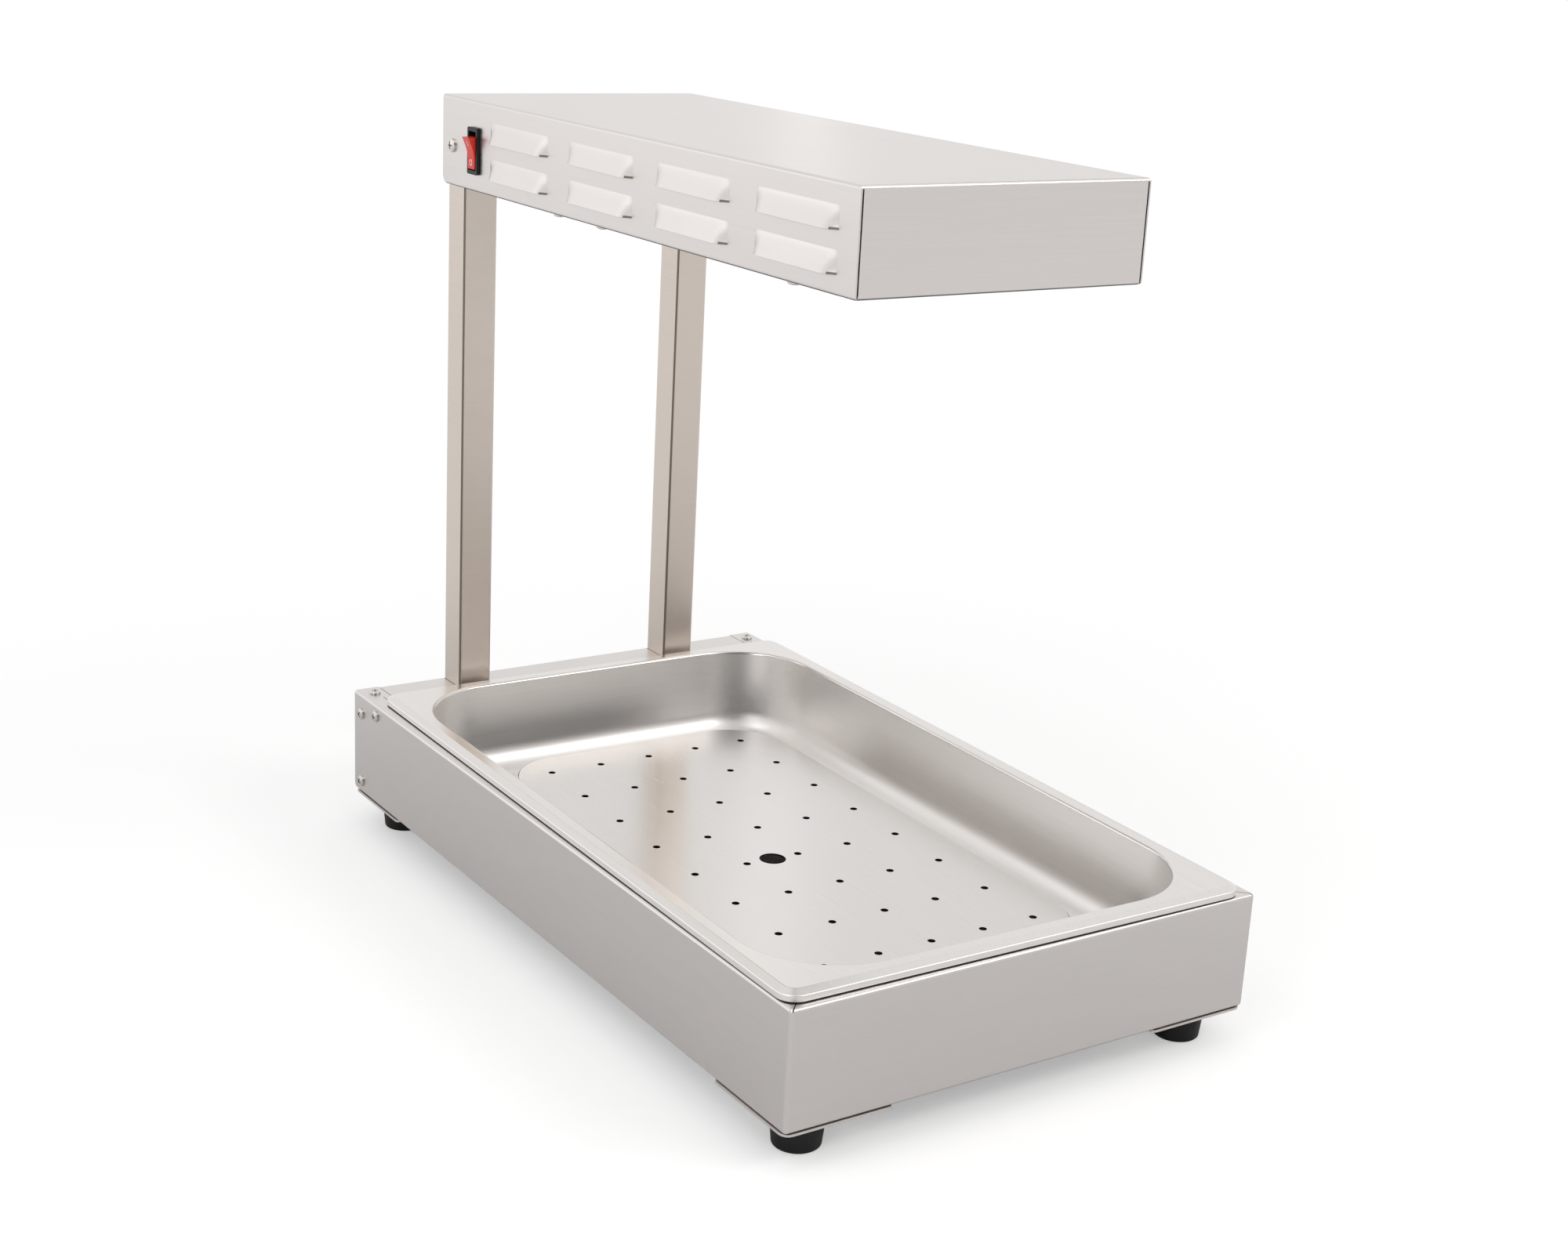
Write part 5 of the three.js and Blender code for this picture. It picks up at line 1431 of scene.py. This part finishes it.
def add_lamps():
    """Soft rectangular lamps of (place, size, tint), all turned to the middle of the station."""
    for name, (place, size, tint) in LAMPS.items():
        data = bpy.data.lights.new(name + "_lamp", "AREA")
        data.shape = "RECTANGLE"
        data.size, data.size_y = size
        data.energy = getattr(settings().stage, name)
        data.color = tint
        lamp = bpy.data.objects.new(name + "_lamp", data)
        bpy.context.scene.collection.objects.link(lamp)
        aim = (LAMP_TARGET - Vector(place)).to_track_quat("-Z", "Y")
        lamp.matrix_world = Matrix.Translation(place) @ aim.to_matrix().to_4x4()


def ray_kinds(tree):
    """1 for camera rays, and 1 for the rays that metal and glass send on."""
    path = add_node(tree, "ShaderNodeLightPath").outputs
    sent_on = math_node(tree, "MAXIMUM", path["Is Glossy Ray"], path["Is Transmission Ray"])
    return path["Is Camera Ray"], sent_on


WHITE = (1.0, 1.0, 1.0, 1)
CAMERA_SIDE = (0.74, 0.72, 0.7, 1)
ONLOOKER_DIRECTION = (-0.55, -0.83, 0.1)


def add_world():
    """A white studio, evenly bright for matt surfaces. Metal shows its camera side dimmer."""
    world = bpy.data.worlds.new("studio")
    bpy.context.scene.world = world
    world.use_nodes = True
    tree = world.node_tree
    tree.nodes.clear()
    camera, sent_on = ray_kinds(tree)
    direction = add_node(tree, "ShaderNodeTexCoord").outputs["Generated"]
    parts = add_node(tree, "ShaderNodeSeparateXYZ", {0: direction}).outputs
    backwards = ranged(tree, parts["Y"], -0.6, 0.2)
    upwards = ranged(tree, parts["Z"], 0.35, 0.6)
    ramp = add_node(tree, "ShaderNodeValToRGB", {
        "Fac": math_node(tree, "MAXIMUM", backwards, upwards),
    })
    ramp.color_ramp.elements[0].color = CAMERA_SIDE
    ramp.color_ramp.elements[1].color = WHITE
    light = add_node(tree, "ShaderNodeBackground", {
        "Color": WHITE, "Strength": settings().stage.ambient,
    })
    facing = add_node(tree, "ShaderNodeVectorMath", {
        0: direction, 1: ONLOOKER_DIRECTION,
    }, operation="DOT_PRODUCT").outputs["Value"]
    mirrored = add_node(tree, "ShaderNodeBackground", {
        "Color": ramp.outputs["Color"],
        "Strength": ranged(tree, facing, 0.7, 0.92, 1.0, settings().stage.onlooker),
    })
    plain = add_node(tree, "ShaderNodeBackground", {"Color": WHITE})
    matt_or_metal = add_node(tree, "ShaderNodeMixShader", {
        0: sent_on, 1: light.outputs[0], 2: mirrored.outputs[0],
    })
    mix = add_node(tree, "ShaderNodeMixShader", {
        0: camera, 1: matt_or_metal.outputs[0], 2: plain.outputs[0],
    })
    out = add_node(tree, "ShaderNodeOutputWorld")
    tree.links.new(mix.outputs[0], out.inputs["Surface"])


FLOOR_REACH = 40.0
SHADOW_REACH, WHITE_FROM = 0.42, 0.95


def add_floor():
    """A pale floor that keeps the shadow near the object and is plain white further out."""
    shape = bmesh.new()
    bmesh.ops.create_grid(shape, x_segments=1, y_segments=1, size=FLOOR_REACH)
    floor = object_from("studio_floor", shape)
    made, tree, surface = blank_material("floor_paper")
    base = settings().stage.floor
    surface.inputs["Base Color"].default_value = (*base, 1.0)
    surface.inputs["Roughness"].default_value = 0.9
    surface.inputs["Specular IOR Level"].default_value = 0.0
    camera, sent_on = ray_kinds(tree)
    lift = add_node(tree, "ShaderNodeEmission", {
        "Strength": math_node(tree, "MULTIPLY", camera, settings().stage.paper_lift),
    })
    near = add_node(tree, "ShaderNodeAddShader", {0: surface.outputs[0], 1: lift.outputs[0]})
    place = object_place(tree)
    distance = add_node(tree, "ShaderNodeVectorMath", {0: place}, operation="LENGTH")
    away = add_node(tree, "ShaderNodeMapRange", {
        "Value": distance.outputs["Value"], "From Min": SHADOW_REACH, "From Max": WHITE_FROM,
    }, interpolation_type="SMOOTHSTEP").outputs["Result"]
    factor = math_node(tree, "MULTIPLY", math_node(tree, "MAXIMUM", camera, sent_on), away)
    glow = add_node(tree, "ShaderNodeEmission", {
        "Strength": ranged(tree, camera, 0.0, 1.0, settings().stage.paper_mirrored, 1.0),
    })
    mix = add_node(tree, "ShaderNodeMixShader", {
        0: factor, 1: near.outputs[0], 2: glow.outputs[0],
    })
    tree.links.new(mix.outputs[0], tree.nodes["Material Output"].inputs["Surface"])
    floor.data.materials.append(made)


class STATION_OT_stage(Operator):
    """Sets the camera, lamps, floor and background"""
    bl_idname = "station.stage"
    bl_label = "Stage"

    def execute(self, context):
        context.scene.view_settings.view_transform = "Standard"
        add_camera()
        add_world()
        add_floor()
        add_lamps()
        return {"FINISHED"}


# Panel and registration

OPERATORS = (
    STATION_OT_stage, STATION_OT_sheet_metal, STATION_OT_posts, STATION_OT_food_pan,
    STATION_OT_drain_plate, STATION_OT_hood, STATION_OT_screws, STATION_OT_feet,
    STATION_OT_switch, STATION_OT_heater, STATION_OT_wiring,
)


class STATION_PT_panel(Panel):
    """Lists the pieces of the dump station and their sizes"""
    bl_label = "Dump Station"
    bl_space_type = "VIEW_3D"
    bl_region_type = "UI"
    bl_category = "Dump Station"

    def draw(self, context):
        for operator in OPERATORS:
            self.layout.operator(operator.bl_idname)
        for name in StationSettings.__annotations__:
            group = getattr(context.scene.dump_station, name)
            box = self.layout.box()
            box.label(text=name.title())
            for field in group.bl_rna.properties:
                if not field.is_readonly and field.identifier != "name":
                    box.prop(group, field.identifier)


CLASSES = (
    PanSizes, PlateSizes, HoodSizes, ScrewSizes, FootSizes, SwitchSizes, GuardSizes,
    FinishColours, StageSettings, StationSettings, *OPERATORS, STATION_PT_panel,
)


def register():
    for item in CLASSES:
        bpy.utils.register_class(item)
    bpy.types.Scene.dump_station = PointerProperty(type=StationSettings)


def unregister():
    del bpy.types.Scene.dump_station
    for item in reversed(CLASSES):
        bpy.utils.unregister_class(item)


def main():
    register()
    for operator in OPERATORS:
        module, name = operator.bl_idname.split(".")
        result = getattr(getattr(bpy.ops, module), name)()
        if result != {"FINISHED"}:
            raise RuntimeError(operator.bl_label + " did not finish")


if __name__ == "__main__":
    main()
